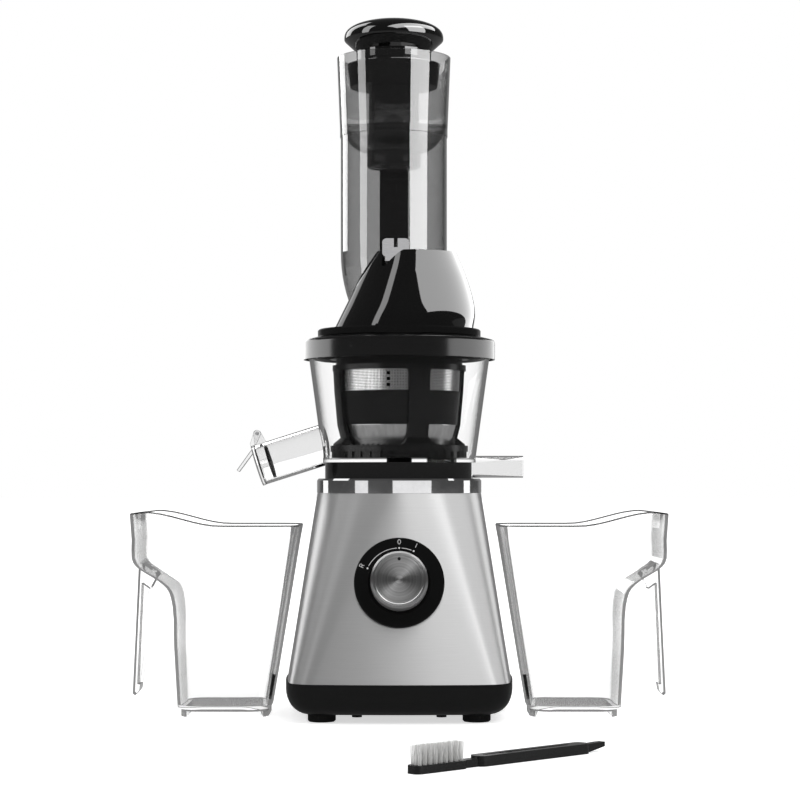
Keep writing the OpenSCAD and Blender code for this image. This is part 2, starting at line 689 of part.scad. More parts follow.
// Channel under the bowl floor that opens into a flared square mouth.
module pulp_outlet() color([0.86, 0.88, 0.9, 0.35]) difference() {
    union() {
        translate([pulp_x - 9.6, -pulp_w / 2, pulp_z]) cube([36, pulp_w, bowl_floor_z - pulp_z]);
        translate([bowl_foot_r - 6, 0, pulp_z + pulp_h / 2]) rotate([90, 0, 90])
            linear_extrude(pulp_reach - bowl_foot_r + 6) rounded_square(pulp_w, pulp_h, 3);
    }
    // inside, flaring from the channel to the mouth
    translate([0, pulp_w / 2 - pulp_wall, 0]) rotate([90, 0, 0]) linear_extrude(pulp_w - 2 * pulp_wall)
        polygon([[pulp_x - 9.6 + pulp_wall, pulp_z + pulp_wall], [bowl_foot_r + 2, pulp_z + pulp_wall],
            [pulp_reach + 1, pulp_z + 1.5], [pulp_reach + 1, pulp_z + pulp_h - 1.5],
            [bowl_foot_r + 2, bowl_floor_z - 0.2], [bowl_foot_r - 4, bowl_floor_z - 0.2],
            [bowl_foot_r - 4, bowl_floor_z + 1], [pulp_x - 9.6 + pulp_wall, bowl_floor_z + 1]]);
    intersection() {
        bowl_envelope(0.1);
        translate([0, 0, bowl_floor_z]) cylinder(h = 20, r = bowl_top_r);
    }
}

module idler_pin() color("#cfd1d3") translate([-idler_x, 0, floor_top_z]) cylinder(h = 8.6, r = 2.5);

module idler_gear() color("#e8e6df") translate([-idler_x, 0, wiper_gear_z]) difference() {
    gear(idler_teeth, wiper_module, wiper_gear_h, 180 / idler_teeth);
    translate([0, 0, -1]) cylinder(h = wiper_gear_h + 2, r = 2.5 + run);
}

// ================= strainer =================

function strainer_r(z) = outline_r(strainer_outline, z);

module strainer() color("#c3c5c7") translate([0, 0, strainer_z]) difference() {
    rotate_extrude() polygon(concat(
        [for (p = strainer_outline) [p[1], p[0]]],
        [for (i = [len(strainer_outline) - 1 : -1 : 0])
            [strainer_outline[i][1] - strainer_wall, strainer_outline[i][0]]]));
    // four square drain slots above the band, left of the front
    for (z = [42.5 : 4.2 : 56]) rotate([0, 0, -100])
        translate([38, -1.3, z]) cube([12, 2.6, 2.4]);
}

module strainer_frame() color("#121213") translate([0, 0, strainer_z]) {
    // top ring with its brim
    rotate_extrude() polygon([[44.05, 58.9], [44.05, 66], [51, 66], [51, 63.4], [46.4, 63.4], [46.4, 56.5],
        [strainer_r(56.5) + run, 56.5], [45.05, 59.05], [44.2, 59.05]]);
    // band round the middle
    rotate_extrude() polygon([[strainer_r(15.4) + run, 15.4], [strainer_r(15.4) + 0.9, 15.4],
        [strainer_r(39.8) + 0.9, 39.8], [strainer_r(39.8) + run, 39.8]]);
    // floor with the pulp sleeve
    difference() {
        union() {
            tube(strainer_r(0) - strainer_wall - 0.1, 17.5, 2.8);
            translate([pulp_x, 0, bowl_floor_z + 0.2 - strainer_z])
                cylinder(h = strainer_z - bowl_floor_z, r = pulp_hole_r + pulp_sleeve_wall);
        }
        translate([pulp_x, 0, -20]) cylinder(h = 30, r = pulp_hole_r);
    }
}

// ================= wiper =================

strut_in = 1.9;
strut_t = 2.1;

// Outline of one strut seen from outside: straight, flaring into both rings.
module strut_outline() {
    w = strut_w / 2;
    polygon(concat([[-w - 9, -1], [w + 9, -1]],
        arc([w + 9, 9], 9, 270, 180, 8), arc([w + 5, 52], 5, 180, 90, 6),
        [[-w - 5, 57]], arc([-w - 5, 52], 5, 90, 0, 6), arc([-w - 9, 9], 9, 0, -90, 8)));
}

module wiper_frame() color("#101011") translate([0, 0, strainer_z]) {
    // ring gear, notched below its flange
    difference() {
        union() {
            translate([0, 0, -8.7]) linear_extrude(4.6) polygon(gear_points(40, 48.2, 49.6, 0.34, 0.26, 0));
            translate([0, 0, -4.2]) cylinder(h = 4.5, r = 50.5);
        }
        translate([0, 0, -10]) ring_gear_hollow(ring_teeth, wiper_module, 12, 180);
        translate([0, 0, -0.4]) cylinder(h = 2, r = strainer_r(0) + 0.8);
    }
    // top ring
    translate([0, 0, 55]) tube(strainer_r(58) + strut_in + strut_t, strainer_r(58) + strut_in, 4);
    // struts
    intersection() {
        rotate_extrude() polygon(concat(
            [[48.5, 0.2], [strainer_r(2) + 3.4, 0.2]],
            [for (z = [6, 15, 40, 56]) [strainer_r(z) + strut_in, z]],
            [for (z = [56, 40, 15, 6]) [strainer_r(z) + strut_in + strut_t, z]],
            [[48.5, 1.6]]));
        for (a = [0 : 90 : 270]) rotate([0, 0, wiper_angle - 90 + a]) translate([30, 0, 0])
            rotate([90, 0, 90]) linear_extrude(30) strut_outline();
    }
}

// Soft strips on the inner side of the struts that sweep the strainer.
module wiper_blades() color("#5a5c5f") translate([0, 0, strainer_z]) for (a = [0 : 90 : 270])
    rotate([0, 0, wiper_angle - 90 + a - 2]) rotate_extrude(angle = 4) polygon(concat(
        [for (z = [8, 15, 40, 53]) [strainer_r(z) + 1.25, z]],
        [for (z = [53, 40, 15, 8]) [strainer_r(z) + strut_in - 0.02, z]]));

// ================= auger =================

// Radius of the core, from the wide foot to the nose, at share t of the height.
function core_r(t) = t < 0.85 ? 31 - 13 * pow(t / 0.85, 0.9) : 18 - 8.5 * pow((t - 0.85) / 0.15, 1.6);
// Radius of the flights: close to the strainer, then running out into the nose.
function flight_r(t) =
    let (z = auger_z - strainer_z + t * auger_h, edge = strainer_r(z) - strainer_wall - auger_gap)
    t < 0.8 ? edge : core_r(t) + (edge - core_r(t)) * (1 - pow((t - 0.8) / 0.2, 1.5)) * 0.999;
// Turn of the flights at share t: steep at the top, flat at the foot.
function flight_turn(t) = -360 * auger_turns * (1 - pow(1 - t, 1.7));

// One ring of the auger: core points with a narrow crest for each flight.
function auger_ring(t) =
    let (rc = core_r(t), rf = max(flight_r(t), rc + 0.05), z = auger_z + t * auger_h,
        crest = 1.6 / rf * 180 / PI, root = 3.75 / rc * 180 / PI, pitch = 360 / auger_flights,
        gap = pitch - 2 * root)
    [for (k = [0 : auger_flights - 1])
        for (s = [[-root, rc], [-crest, rf], [crest, rf], [root, rc],
                [root + gap * 0.2, rc], [root + gap * 0.4, rc], [root + gap * 0.6, rc], [root + gap * 0.8, rc]])
            let (a = flight_turn(t) + pitch * k + s[0]) [s[1] * cos(a), s[1] * sin(a), z]];

module auger() color("#1a1a1b") difference() {
    union() {
        loft([for (i = [0 : 64]) auger_ring(i / 64)]);
        translate([0, 0, auger_z + auger_h]) cylinder(h = 8, r = 5);
    }
    translate([0, 0, auger_z - 1]) cylinder(h = 31, r = coupling_r);
}

// Hex socket with the gear that turns the wiper.
module auger_coupling() color("#d8d6cf") difference() {
    union() {
        translate([0, 0, auger_z - 4]) cylinder(h = 33.5, r = coupling_r);
        translate([0, 0, wiper_gear_z + wiper_gear_h]) cylinder(h = auger_z - wiper_gear_z - wiper_gear_h - 0.01, r = coupling_r + 4);
        translate([0, 0, wiper_gear_z]) gear(auger_gear_teeth, wiper_module, wiper_gear_h, 0);
    }
    translate([0, 0, wiper_gear_z - 1]) cylinder(h = hub_top_z + 0.4 - wiper_gear_z + 1, r = hub_r + 0.5);
    translate([0, 0, wiper_gear_z]) cylinder(h = shaft_top_z + 1 - wiper_gear_z, r = shaft_r, $fn = 6);
}

// ================= lid =================

module feed_hole(r) difference() {
    translate([chute_x, chute_y]) circle(r);
    circle(10.5);
}

// Outside of the lid from its lower edge over the round shoulder to the dome's flange, grown by g.
function lid_outline(g) = concat([[lid_r + g, lid_z - g]],
    arc([lid_r - lid_round_r, lid_shoulder_z + 1], lid_round_r + g, 0, 80, 6), [[lid_top_r + g, lid_top_z + g]]);

module lid() color("#1c1c1d") {
    difference() {
        rotate_extrude() polygon(concat([[lid_r - 1.6, lid_z]], lid_outline(0),
            [[7, lid_top_z], [7, lid_z + 4], [10, lid_z + 4], [10, lid_top_z - lid_t],
                [lid_top_r - 1.4, lid_top_z - lid_t], [lid_r - 1.6, lid_shoulder_z - 1.8]]));
        translate([0, 0, lid_top_z - lid_t - 1]) linear_extrude(lid_t + 2) feed_hole(chute_foot_r - 2);
    }
    // bayonet tabs, at the angle where the lid lifts off
    for (a = [90, 210, 330]) rotate([0, 0, a - 8]) rotate_extrude(angle = 16)
        translate([lid_r - 3, lid_z + 0.2]) square([1.6, 1.6]);
}

module lid_gasket() color("#d9d9d6") rotate_extrude()
    translate([bowl_top_r - 3, rim_top_z + fit]) square([lid_r - 2.2 - bowl_top_r + 3, 1.8]);

module lid_bush() color("#e9e7e0") translate([0, 0, lid_z + 3.4]) tube(7, 5 + run, 9);

chute_foot_r = chute_r - chute_arc_r + sqrt(chute_arc_r * chute_arc_r - chute_flare_h * chute_flare_h);

// Solid within the chute's outside, grown by g.
module chute_form(g) translate([chute_x, chute_y, 0]) rotate_extrude() polygon(concat(
    [[0, flange_top_z]],
    [for (i = [0 : 10]) let (d = chute_flare_h * (1 - i / 10))
        [chute_r + g - chute_arc_r + sqrt(chute_arc_r * chute_arc_r - d * d), chute_arc_z - d]],
    [[chute_r + g, chute_top_z], [0, chute_top_z]]));

module chute() color([0.45, 0.46, 0.48, 0.4]) difference() {
    chute_form(0);
    translate([chute_x, chute_y, 0]) rotate_extrude() polygon(concat(
        [[0, flange_top_z - 1], [chute_foot_r - chute_wall, flange_top_z - 1]],
        [for (i = [0 : 10]) let (d = chute_flare_h * (1 - i / 10))
            [chute_r - chute_wall - chute_arc_r + sqrt(chute_arc_r * chute_arc_r - d * d), chute_arc_z - d]],
        [[chute_r - chute_wall, chute_top_z + 1], [0, chute_top_z + 1]]));
}

// Black rib up the back of the chute, hooked over the lid's rim.
spine_w = 22.5;
module chute_spine() color("#111112") difference() {
    translate([chute_x, chute_y + chute_r + 12, 0]) rotate([90, 0, 0]) linear_extrude(14) {
        translate([-spine_w / 2, lid_z + 4.5]) square([spine_w, chute_top_z + 6 - lid_z - 4.5]);
        translate([0, chute_top_z + 6]) circle(spine_w / 2);
    }
    chute_form(0.05);
    translate([chute_x, chute_y, chute_top_z - 2]) cylinder(h = 40, r = cup_low_r + 2.4);
    rotate_extrude() polygon(concat([[0, lid_z - 0.05]], lid_outline(0.05),
        [[lid_top_r + 0.05, flange_top_z], [0, flange_top_z]]));
}

module dome_form(inset) hull() for (s = dome_sections) {
    r = chute_r + (s[1] + s[2]) / 2 - inset;
    translate([(s[1] - s[2]) / 2, 0, flange_top_z - (inset > 0 ? 1 : 0) + s[0] * (dome_h - (inset > 0 ? inset - 1 : 0))])
        translate([0, 0, s[0] == 1 ? -eps : 0]) cylinder(h = eps, r = r, $fn = hull_fn);
}

latch_x = -2.5;
latch_w = 19.4;
latch_d = 9;
latch_y = chute_y - chute_r - 7.8;

module lid_dome() color("#0c0c0d") {
    difference() {
        union() {
            translate([0, 0, lid_top_z]) cylinder(h = flange_t, r = lid_top_r - 1);
            // front tab
            translate([-17, -lid_top_r - 1, lid_top_z]) cube([34, 5, flange_t + 0.8]);
            difference() {
                dome_form(0);
                dome_form(dome_wall);
            }
            // well under the latch button
            intersection() {
                translate([latch_x - latch_w / 2 - 2, latch_y - latch_d / 2 - 2, dome_top_z - 14])
                    cube([latch_w + 4, latch_d + 4, 14]);
                dome_form(0.2);
            }
        }
        translate([0, 0, lid_top_z - 1]) linear_extrude(flange_t + 2) feed_hole(chute_foot_r - 2);
        chute_form(fit);
        translate([latch_x - latch_w / 2 - fit, latch_y - latch_d / 2 - fit, dome_top_z - 12])
            cube([latch_w + 2 * fit, latch_d + 2 * fit, 20]);
    }
}

module latch_button() color("#cdd0d2") translate([latch_x, latch_y, 0]) rotate([90, 0, 0])
    translate([0, 0, -latch_d / 2]) linear_extrude(latch_d) difference() {
        union() {
            translate([0, dome_top_z + 1.3]) rounded_square(latch_w, 13.2, 3);
            translate([-latch_w / 2 + 2, dome_top_z - 8.4]) square([latch_w - 4, 6]);
        }
        // finger notch
        translate([-1.4, dome_top_z + 1.5]) square([2.8, 7]);
    }

// ================= cup and pusher =================

// Quarter of an ellipse that turns the cup's wall, at radius r1, into its bottom, at r0 and z0.
function cup_curve(r0, r1, z0, h, a0, a1) =
    [for (i = [0 : 14]) let (a = a0 + (a1 - a0) * i / 14) [r0 + (r1 - r0) * cos(a), z0 + h * (1 - sin(a))]];

// Round-bottomed cup with a tube up its middle; a skirt outside the bottom stands on the chute's rim.
module hopper_cup() color([0.42, 0.43, 0.45, 0.4]) translate([chute_x, chute_y, 0]) rotate_extrude() polygon(concat(
    [[cup_rim_r, cup_rim_z], [cup_low_r, cup_seat_z], [cup_low_r, chute_top_z + fit],
        [cup_low_r - skirt_wall, chute_top_z + fit]],
    cup_curve(cup_tube_r + 1.3, cup_low_r + 0.15, cup_bottom_z, cup_arc_h,
        asin(1 - (cup_seat_z - cup_bottom_z) / cup_arc_h), 90),
    [[cup_tube_r + 1.3, neck_z + 1], [cup_tube_r, neck_z],
        [cup_tube_r - 1.8, neck_z], [cup_tube_r - 1.8, tube_top_z], [cup_tube_r, tube_top_z]],
    cup_curve(cup_tube_r, cup_low_r + 0.3 - cup_wall, cup_bottom_z + cup_wall, cup_arc_h - cup_wall, 90, 0),
    [[cup_rim_r - cup_wall + 0.4, cup_rim_z]]));

plunger_r = cup_tube_r - 2.2;
plunger_wall = 1.8;
plunger_z = neck_z + 1.3;
grip_z = 36.3;

// Mushroom grip with its waist, the flange that rests on the cup's tube, and a spigot below.
module pusher_grip() color("#0d0d0e") translate([chute_x, chute_y, pusher_seat_z]) rotate_extrude()
    polygon(concat(
        [[0, grip_z + 14.2]],
        [for (i = [1 : 10]) let (a = 90 - 9 * i) [grip_r * cos(a), grip_z + 14.2 * pow(sin(a), 0.75)]],
        [[grip_r - 0.4, grip_z - 1.2], [grip_r - 9, grip_z - 9], [grip_r - 9.4, 18.4], [grip_r - 2.5, 16.8],
            [grip_r - 4.6, 0], [plunger_r, 0], [plunger_r, 8], [plunger_r - plunger_wall, 8],
            [plunger_r - plunger_wall, -10], [plunger_r - plunger_wall - 3, -10],
            [plunger_r - plunger_wall - 3, 30], [0, 34]]));

// Closed tube fixed round the grip's spigot.
module pusher_plunger() color([0.42, 0.43, 0.45, 0.4]) translate([chute_x, chute_y, 0]) difference() {
    translate([0, 0, plunger_z]) cylinder(h = pusher_seat_z + 8 - plunger_z, r = plunger_r);
    translate([0, 0, plunger_z + 2.2]) cylinder(h = 90, r = plunger_r - plunger_wall);
}

// ================= jugs =================

jug_inner_x = base_w / 2 - jug_overhang;

// Ring of a jug at height z between x0 and x1, half depth hy and corner radius r.
function jug_ring(x0, x1, hy, r, z) = [for (q = [0 : 3], i = [0 : 6])
    let (a = q * 90 + i * 15, cx = (q == 0 || q == 3) ? x1 - r : x0 + r, cy = q < 2 ? hy - r : r - hy)
    [cx + r * cos(a), cy + r * sin(a), z]];

// Levels of the jug: height, handle-side edge and pouring-side edge, from the jug's inner rim edge.
jug_levels = [[6, -89, -21.6], [50, -91.1, -14.3], [86, -93, -8.5], [93, -96, -7.4], [99.5, -103.5, -6.3],
    [106.5, -115, -5.2], [111.4, -119.8, -4.5], [128, -120.8, -1.8]];
jug_half_foot = 35;
function jug_half(z) = jug_half_foot + (jug_depth / 2 - jug_half_foot) * z / jug_h;
// Height of the rim above the pouring side, by distance from the inner rim edge.
function rim_rise(x) = let (t = min(max((-x - 56) / 54, 0), 1)) 9.8 * (3 * t * t - 2 * t * t * t)
    - 1.4 * min(max((-x - 110) / 12, 0), 1);
function raised(ring) = [for (p = ring) [p[0], p[1], p[2] + rim_rise(p[0])]];

module jug(clear) color(clear) {
    scale_z = jug_h / 139;
    difference() {
        union() {
            loft(concat(
                [jug_ring(-86.4, -22.8, jug_half_foot - 1.4, 15, 0)],
                [jug_ring(-86.4, -22.8, jug_half_foot - 1.4, 15, 5.6)],
                [for (l = jug_levels) jug_ring(l[1], l[2], jug_half(l[0]), 17, l[0] * scale_z)],
                [raised(jug_ring(-122, 0, jug_depth / 2, 17, jug_h))],
                [raised(jug_ring(-122 + jug_wall, -jug_wall, jug_depth / 2 - jug_wall, 15, jug_h))],
                [for (i = [len(jug_levels) - 1 : -1 : 1]) let (l = jug_levels[i])
                    jug_ring(l[1] + jug_wall, l[2] - jug_wall, jug_half(l[0]) - jug_wall, 15, l[0] * scale_z + 0.4)],
                [jug_ring(-89 + jug_wall, -21.4 - jug_wall, jug_half_foot - jug_wall + 0.2, 15, 8.5)]));
            // open-ended handle: a channel with its back outwards
            translate([0, handle_w / 2, 0]) rotate([90, 0, 0]) linear_extrude(handle_w)
                polygon([[-118.2, 109 * scale_z], [-122.6, 15.5], [-121, 14], [-118, 17.5], [-112.3, 59], [-111.2, 90],
                    [-106.5, 98.6 * scale_z], [-108, 104 * scale_z]]);
        }
        translate([0, handle_w / 2 - jug_wall, 0]) rotate([90, 0, 0]) linear_extrude(handle_w - 2 * jug_wall)
            polygon([[-116.4, 96 * scale_z], [-119.6, 22], [-115, 22], [-109.3, 59], [-108, 90]]);
        translate([-54.6, 0, -1]) linear_extrude(5.2) rounded_square(56, 2 * jug_half_foot - 10, 10);
    }
}
handle_w = 22;

module juice_jug() translate([-jug_inner_x, 0, 0]) jug([0.9, 0.92, 0.94, 0.3]);
module pulp_jug() mirror([1, 0, 0]) translate([-jug_inner_x, 0, 0]) jug([0.9, 0.92, 0.94, 0.3]);

// ================= brush =================

brush_at = [7, -338];
brush_turn = 42.8;
head_len = 42;

tuft_r = 1.3;
head_h = 5;
tuft_seat = 2;

module tufts(r, z, h) for (i = [0 : 8], y = [-3, 0, 3])
    translate([4 + i * (head_len - 8) / 8, y, z]) cylinder(h = h, r = r, $fn = 24);

module on_brush() translate([brush_at[0], brush_at[1], 0]) rotate([0, 0, brush_turn]) children();

module brush_handle() color("#161617") on_brush() difference() {
    union() {
        translate([head_len / 2, 0, 0]) linear_extrude(head_h) rounded_square(head_len, 11, 4);
        translate([head_len - 2, -3, 0]) cube([14, 6, head_h]);
        translate([(head_len + 10 + brush_len - 16) / 2, 0, 0])
            linear_extrude(6.5) rounded_square(brush_len - 26 - head_len, 12, 5);
        // scraper tip
        translate([brush_len - 20, 2.5, 0]) rotate([90, 0, 0]) linear_extrude(5)
            polygon([[0, 1], [3, 0], [20, 3], [20, 6], [14, 6], [2, 5.5]]);
    }
    translate([head_len + 18, -1.6, 4.3]) cube([brush_len - head_len - 50, 3.2, 4]);
    tufts(tuft_r, head_h - tuft_seat, 5);
}

module brush_bristles() color("#f2f2ee") on_brush() tufts(tuft_r, head_h - tuft_seat, tuft_seat + 12);

feet();
base_plate();
base_screws();
base_housing();
cord_grommet();
body_shell();
collar();
top_deck();
deck_bush();
shaft_seal();
interlock_switch();
dial_bezel();
selector_switch();
knob_cap();
knob_core();
switch_spindle();
motor_brackets();
stator();
windings();
bearings();
rotor();
rotor_shaft();
cooling_fan();
gearbox_housing();
gearbox_cover();
gearbox_screws();
countershaft_pin();
countershaft_gear();
output_gear();
drive_shaft();
bowl();
bowl_base();
hub_seal();
juice_spout();
pulp_outlet();
cap_pin();
spout_cap();
cap_plug();
idler_pin();
idler_gear();
strainer();
strainer_frame();
wiper_frame();
wiper_blades();
auger();
auger_coupling();
lid();
lid_gasket();
lid_bush();
lid_dome();
chute();
chute_spine();
latch_button();
hopper_cup();
pusher_grip();
pusher_plunger();
juice_jug();
pulp_jug();
brush_handle();
brush_bristles();
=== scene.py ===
"""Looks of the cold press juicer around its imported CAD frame. Metres, +Z up, front towards -Y."""
import json
import math
import random

import bmesh
import bpy
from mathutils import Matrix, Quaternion, Vector

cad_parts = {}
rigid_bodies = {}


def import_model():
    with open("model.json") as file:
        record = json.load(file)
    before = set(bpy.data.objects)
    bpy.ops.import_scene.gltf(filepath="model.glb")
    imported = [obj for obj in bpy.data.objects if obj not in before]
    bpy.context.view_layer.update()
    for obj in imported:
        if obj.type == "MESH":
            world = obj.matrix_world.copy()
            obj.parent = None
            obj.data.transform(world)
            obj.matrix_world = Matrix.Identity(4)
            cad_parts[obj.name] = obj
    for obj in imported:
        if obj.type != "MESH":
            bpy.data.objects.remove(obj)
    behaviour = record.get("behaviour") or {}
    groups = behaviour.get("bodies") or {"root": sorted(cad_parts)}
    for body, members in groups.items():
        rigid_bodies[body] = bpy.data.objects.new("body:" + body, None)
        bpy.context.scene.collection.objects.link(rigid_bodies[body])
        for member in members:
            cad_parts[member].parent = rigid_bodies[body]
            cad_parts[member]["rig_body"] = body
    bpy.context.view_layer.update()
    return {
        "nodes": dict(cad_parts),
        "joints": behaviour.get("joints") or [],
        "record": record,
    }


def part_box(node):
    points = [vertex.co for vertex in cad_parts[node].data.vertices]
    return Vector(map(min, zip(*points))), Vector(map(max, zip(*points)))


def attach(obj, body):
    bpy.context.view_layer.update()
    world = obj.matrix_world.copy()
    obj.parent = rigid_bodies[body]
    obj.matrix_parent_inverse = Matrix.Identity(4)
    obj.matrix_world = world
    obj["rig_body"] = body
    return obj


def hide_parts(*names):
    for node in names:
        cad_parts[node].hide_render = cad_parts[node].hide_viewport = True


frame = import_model()
nodes = frame["nodes"]
MM = 0.001


def corners(node):
    """Lowest and highest corner of a CAD piece, in millimetres."""
    return [tuple(round(v / MM, 3) for v in corner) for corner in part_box(node)]


def add_object(name, data):
    obj = bpy.data.objects.new(name, data)
    bpy.context.scene.collection.objects.link(obj)
    return obj


# ================= camera =================

SENSOR = 36.0
FOCAL_PX = 2250.0       # focal length in pixels of the 800 pixel frame
FRAME_PX = 800.0
CAMERA_Y = -1.654       # the camera stands this far in front of the drive axis
CAMERA_Z = 0.175
HORIZON_BELOW_MIDDLE_PX = 75.0
SHIFT_RIGHT_PX = 0.8


def make_camera():
    data = bpy.data.cameras.new("camera")
    data.sensor_width = SENSOR
    data.lens = SENSOR * FOCAL_PX / FRAME_PX
    data.shift_x = SHIFT_RIGHT_PX / FRAME_PX
    data.shift_y = HORIZON_BELOW_MIDDLE_PX / FRAME_PX
    camera = add_object("camera", data)
    camera.location = (0, CAMERA_Y, CAMERA_Z)
    camera.rotation_euler = (math.radians(90), 0, 0)
    bpy.context.scene.camera = camera


# ================= node trees =================


class Tree:
    """Short calls to build a node tree."""

    def __init__(self, tree):
        self.tree = tree
        tree.nodes.clear()

    def add(self, kind, **settings):
        node = self.tree.nodes.new(kind)
        for key, value in settings.items():
            setattr(node, key, value)
        return node

    def link(self, a, b):
        self.tree.links.new(a, b)

    def feed(self, socket, value):
        if isinstance(value, bpy.types.NodeSocket):
            self.link(value, socket)
        elif socket.type == "RGBA" and not isinstance(value, tuple):
            socket.default_value = (value, value, value, 1)
        else:
            socket.default_value = value

    def math(self, operation, a, b=0.0):
        node = self.add("ShaderNodeMath", operation=operation)
        for socket, value in zip(node.inputs, (a, b)):
            self.feed(socket, value)
        return node.outputs[0]

    def step(self, value, low, high):
        """0 below low, 1 above high, smooth between."""
        node = self.add("ShaderNodeMapRange", interpolation_type="SMOOTHSTEP")
        self.link(value, node.inputs["Value"])
        node.inputs["From Min"].default_value, node.inputs["From Max"].default_value = low, high
        return node.outputs[0]

    def span(self, value, low, high, source=(0.0, 1.0)):
        """The value's source range spread from low to high."""
        node = self.add("ShaderNodeMapRange")
        self.link(value, node.inputs["Value"])
        node.inputs["From Min"].default_value, node.inputs["From Max"].default_value = source
        node.inputs["To Min"].default_value, node.inputs["To Max"].default_value = low, high
        return node.outputs[0]

    def ramp(self, value, stops):
        node = self.add("ShaderNodeValToRGB")
        self.link(value, node.inputs["Fac"])
        elements = node.color_ramp.elements
        while len(elements) < len(stops):
            elements.new(0.5)
        for element, (place, colour) in zip(elements, stops):
            element.position = place
            element.color = (*(colour if isinstance(colour, tuple) else (colour,) * 3), 1)
        return node.outputs["Color"]

    def mix(self, factor, a, b):
        node = self.add("ShaderNodeMix", data_type="RGBA")
        self.feed(node.inputs["Factor"], factor)
        self.feed(node.inputs["A"], a)
        self.feed(node.inputs["B"], b)
        return node.outputs["Result"]

    def mirrored(self, path):
        """One where the ray has met a shiny surface on its way, zero elsewhere."""
        return self.math("GREATER_THAN", path.outputs["Glossy Depth"], 0.5)


class Shader(Tree):
    """A material with one Principled shader."""

    def __init__(self, name, **values):
        self.material = bpy.data.materials.new(name)
        self.material.use_nodes = True
        super().__init__(self.material.node_tree)
        self.out = self.add("ShaderNodeOutputMaterial")
        self.surface = self.add("ShaderNodeBsdfPrincipled")
        self.link(self.surface.outputs[0], self.out.inputs["Surface"])
        for key, value in values.items():
            value = (*value, 1) if isinstance(value, tuple) and len(value) == 3 else value
            self.surface.inputs[key.replace("_", " ")].default_value = value

    def coordinates(self, scale=(1, 1, 1), at=(0, 0, 0), turn=(0, 0, 0)):
        """Coordinates on the object at rest, in metres, taken from a point, turned and stretched."""
        source = self.add("ShaderNodeTexCoord")
        move = self.add("ShaderNodeMapping", vector_type="TEXTURE")
        move.inputs["Location"].default_value = at
        move.inputs["Rotation"].default_value = turn
        self.link(source.outputs["Object"], move.inputs["Vector"])
        stretch = self.add("ShaderNodeMapping")
        stretch.inputs["Scale"].default_value = scale
        self.link(move.outputs[0], stretch.inputs["Vector"])
        return stretch.outputs[0]

    def noise(self, vector, scale, detail=2.0, rough=0.5):
        node = self.add("ShaderNodeTexNoise")
        self.link(vector, node.inputs["Vector"])
        node.inputs["Scale"].default_value = scale
        node.inputs["Detail"].default_value = detail
        node.inputs["Roughness"].default_value = rough
        return node.outputs["Fac"]

    def paint(self, socket, value):
        self.feed(self.surface.inputs[socket], value)

    def bump(self, height, strength, distance):
        node = self.add("ShaderNodeBump")
        self.link(height, node.inputs["Height"])
        node.inputs["Strength"].default_value = strength
        node.inputs["Distance"].default_value = distance
        self.paint("Normal", node.outputs[0])

    def let_lamps_through(self, tint):
        """Rays to lamps pass, so that what stands behind clear plastic is lit."""
        path = self.add("ShaderNodeLightPath")
        clear = self.add("ShaderNodeBsdfTransparent")
        clear.inputs["Color"].default_value = (tint, tint, tint, 1)
        mix = self.add("ShaderNodeMixShader")
        self.link(path.outputs["Is Shadow Ray"], mix.inputs[0])
        self.link(self.surface.outputs[0], mix.inputs[1])
        self.link(clear.outputs[0], mix.inputs[2])
        self.link(mix.outputs[0], self.out.inputs["Surface"])


# ================= materials =================


# noise scales, about as many spots to the metre
GLOSS_SPOTS, TONE_SPOTS, GRAIN_SPOTS, HAZE_SPOTS = 60, 900, 1400, 40
GRAIN_DEPTH = 0.04 * MM
SCRATCH_DEPTH = 0.03 * MM
CLEAR_ROUGH = 0.015


def moulded(name, colour, rough, grain=0.25, ior=1.5, level=0.5, speck=0.15):
    """Moulded plastic: an even skin with a fine grain and slightly uneven gloss."""
    s = Shader(name, Base_Color=colour, IOR=ior, Specular_IOR_Level=level)
    where = s.coordinates()
    s.paint("Roughness", s.span(s.noise(where, GLOSS_SPOTS, 3), rough * (1 - speck), rough * (1 + speck)))
    shade = tuple(0.93 * c for c in colour)
    s.paint("Base Color", s.ramp(s.noise(where, TONE_SPOTS), [(0.3, shade), (0.7, colour)]))
    if grain:
        s.bump(s.noise(where, GRAIN_SPOTS), grain, GRAIN_DEPTH)
    return s.material


def metal(name, colour, rough, scale=(1, 1, 1), lines=300, depth=0.3, speck=0.25):
    """Bare metal with fine scratches, drawn out along the directions whose scale is small."""
    s = Shader(name, Base_Color=colour, Metallic=1.0)
    where = s.coordinates(scale=scale)
    scratches = s.noise(where, lines, 4, 0.65)
    s.paint("Roughness", s.span(scratches, rough * (1 - speck), rough * (1 + speck), (0.3, 0.7)))
    shade = tuple(0.86 * c for c in colour)
    s.paint("Base Color", s.ramp(scratches, [(0.25, shade), (0.75, colour)]))
    if depth:
        s.bump(scratches, depth, SCRATCH_DEPTH)
    return s.material


STEEL_ROUGH = 0.4
STEEL_ROUGH_SWING = 0.03
STEEL_LINES, STEEL_PATCHES = 3400, 14
STEEL_LINE_DEPTH = 0.02 * MM


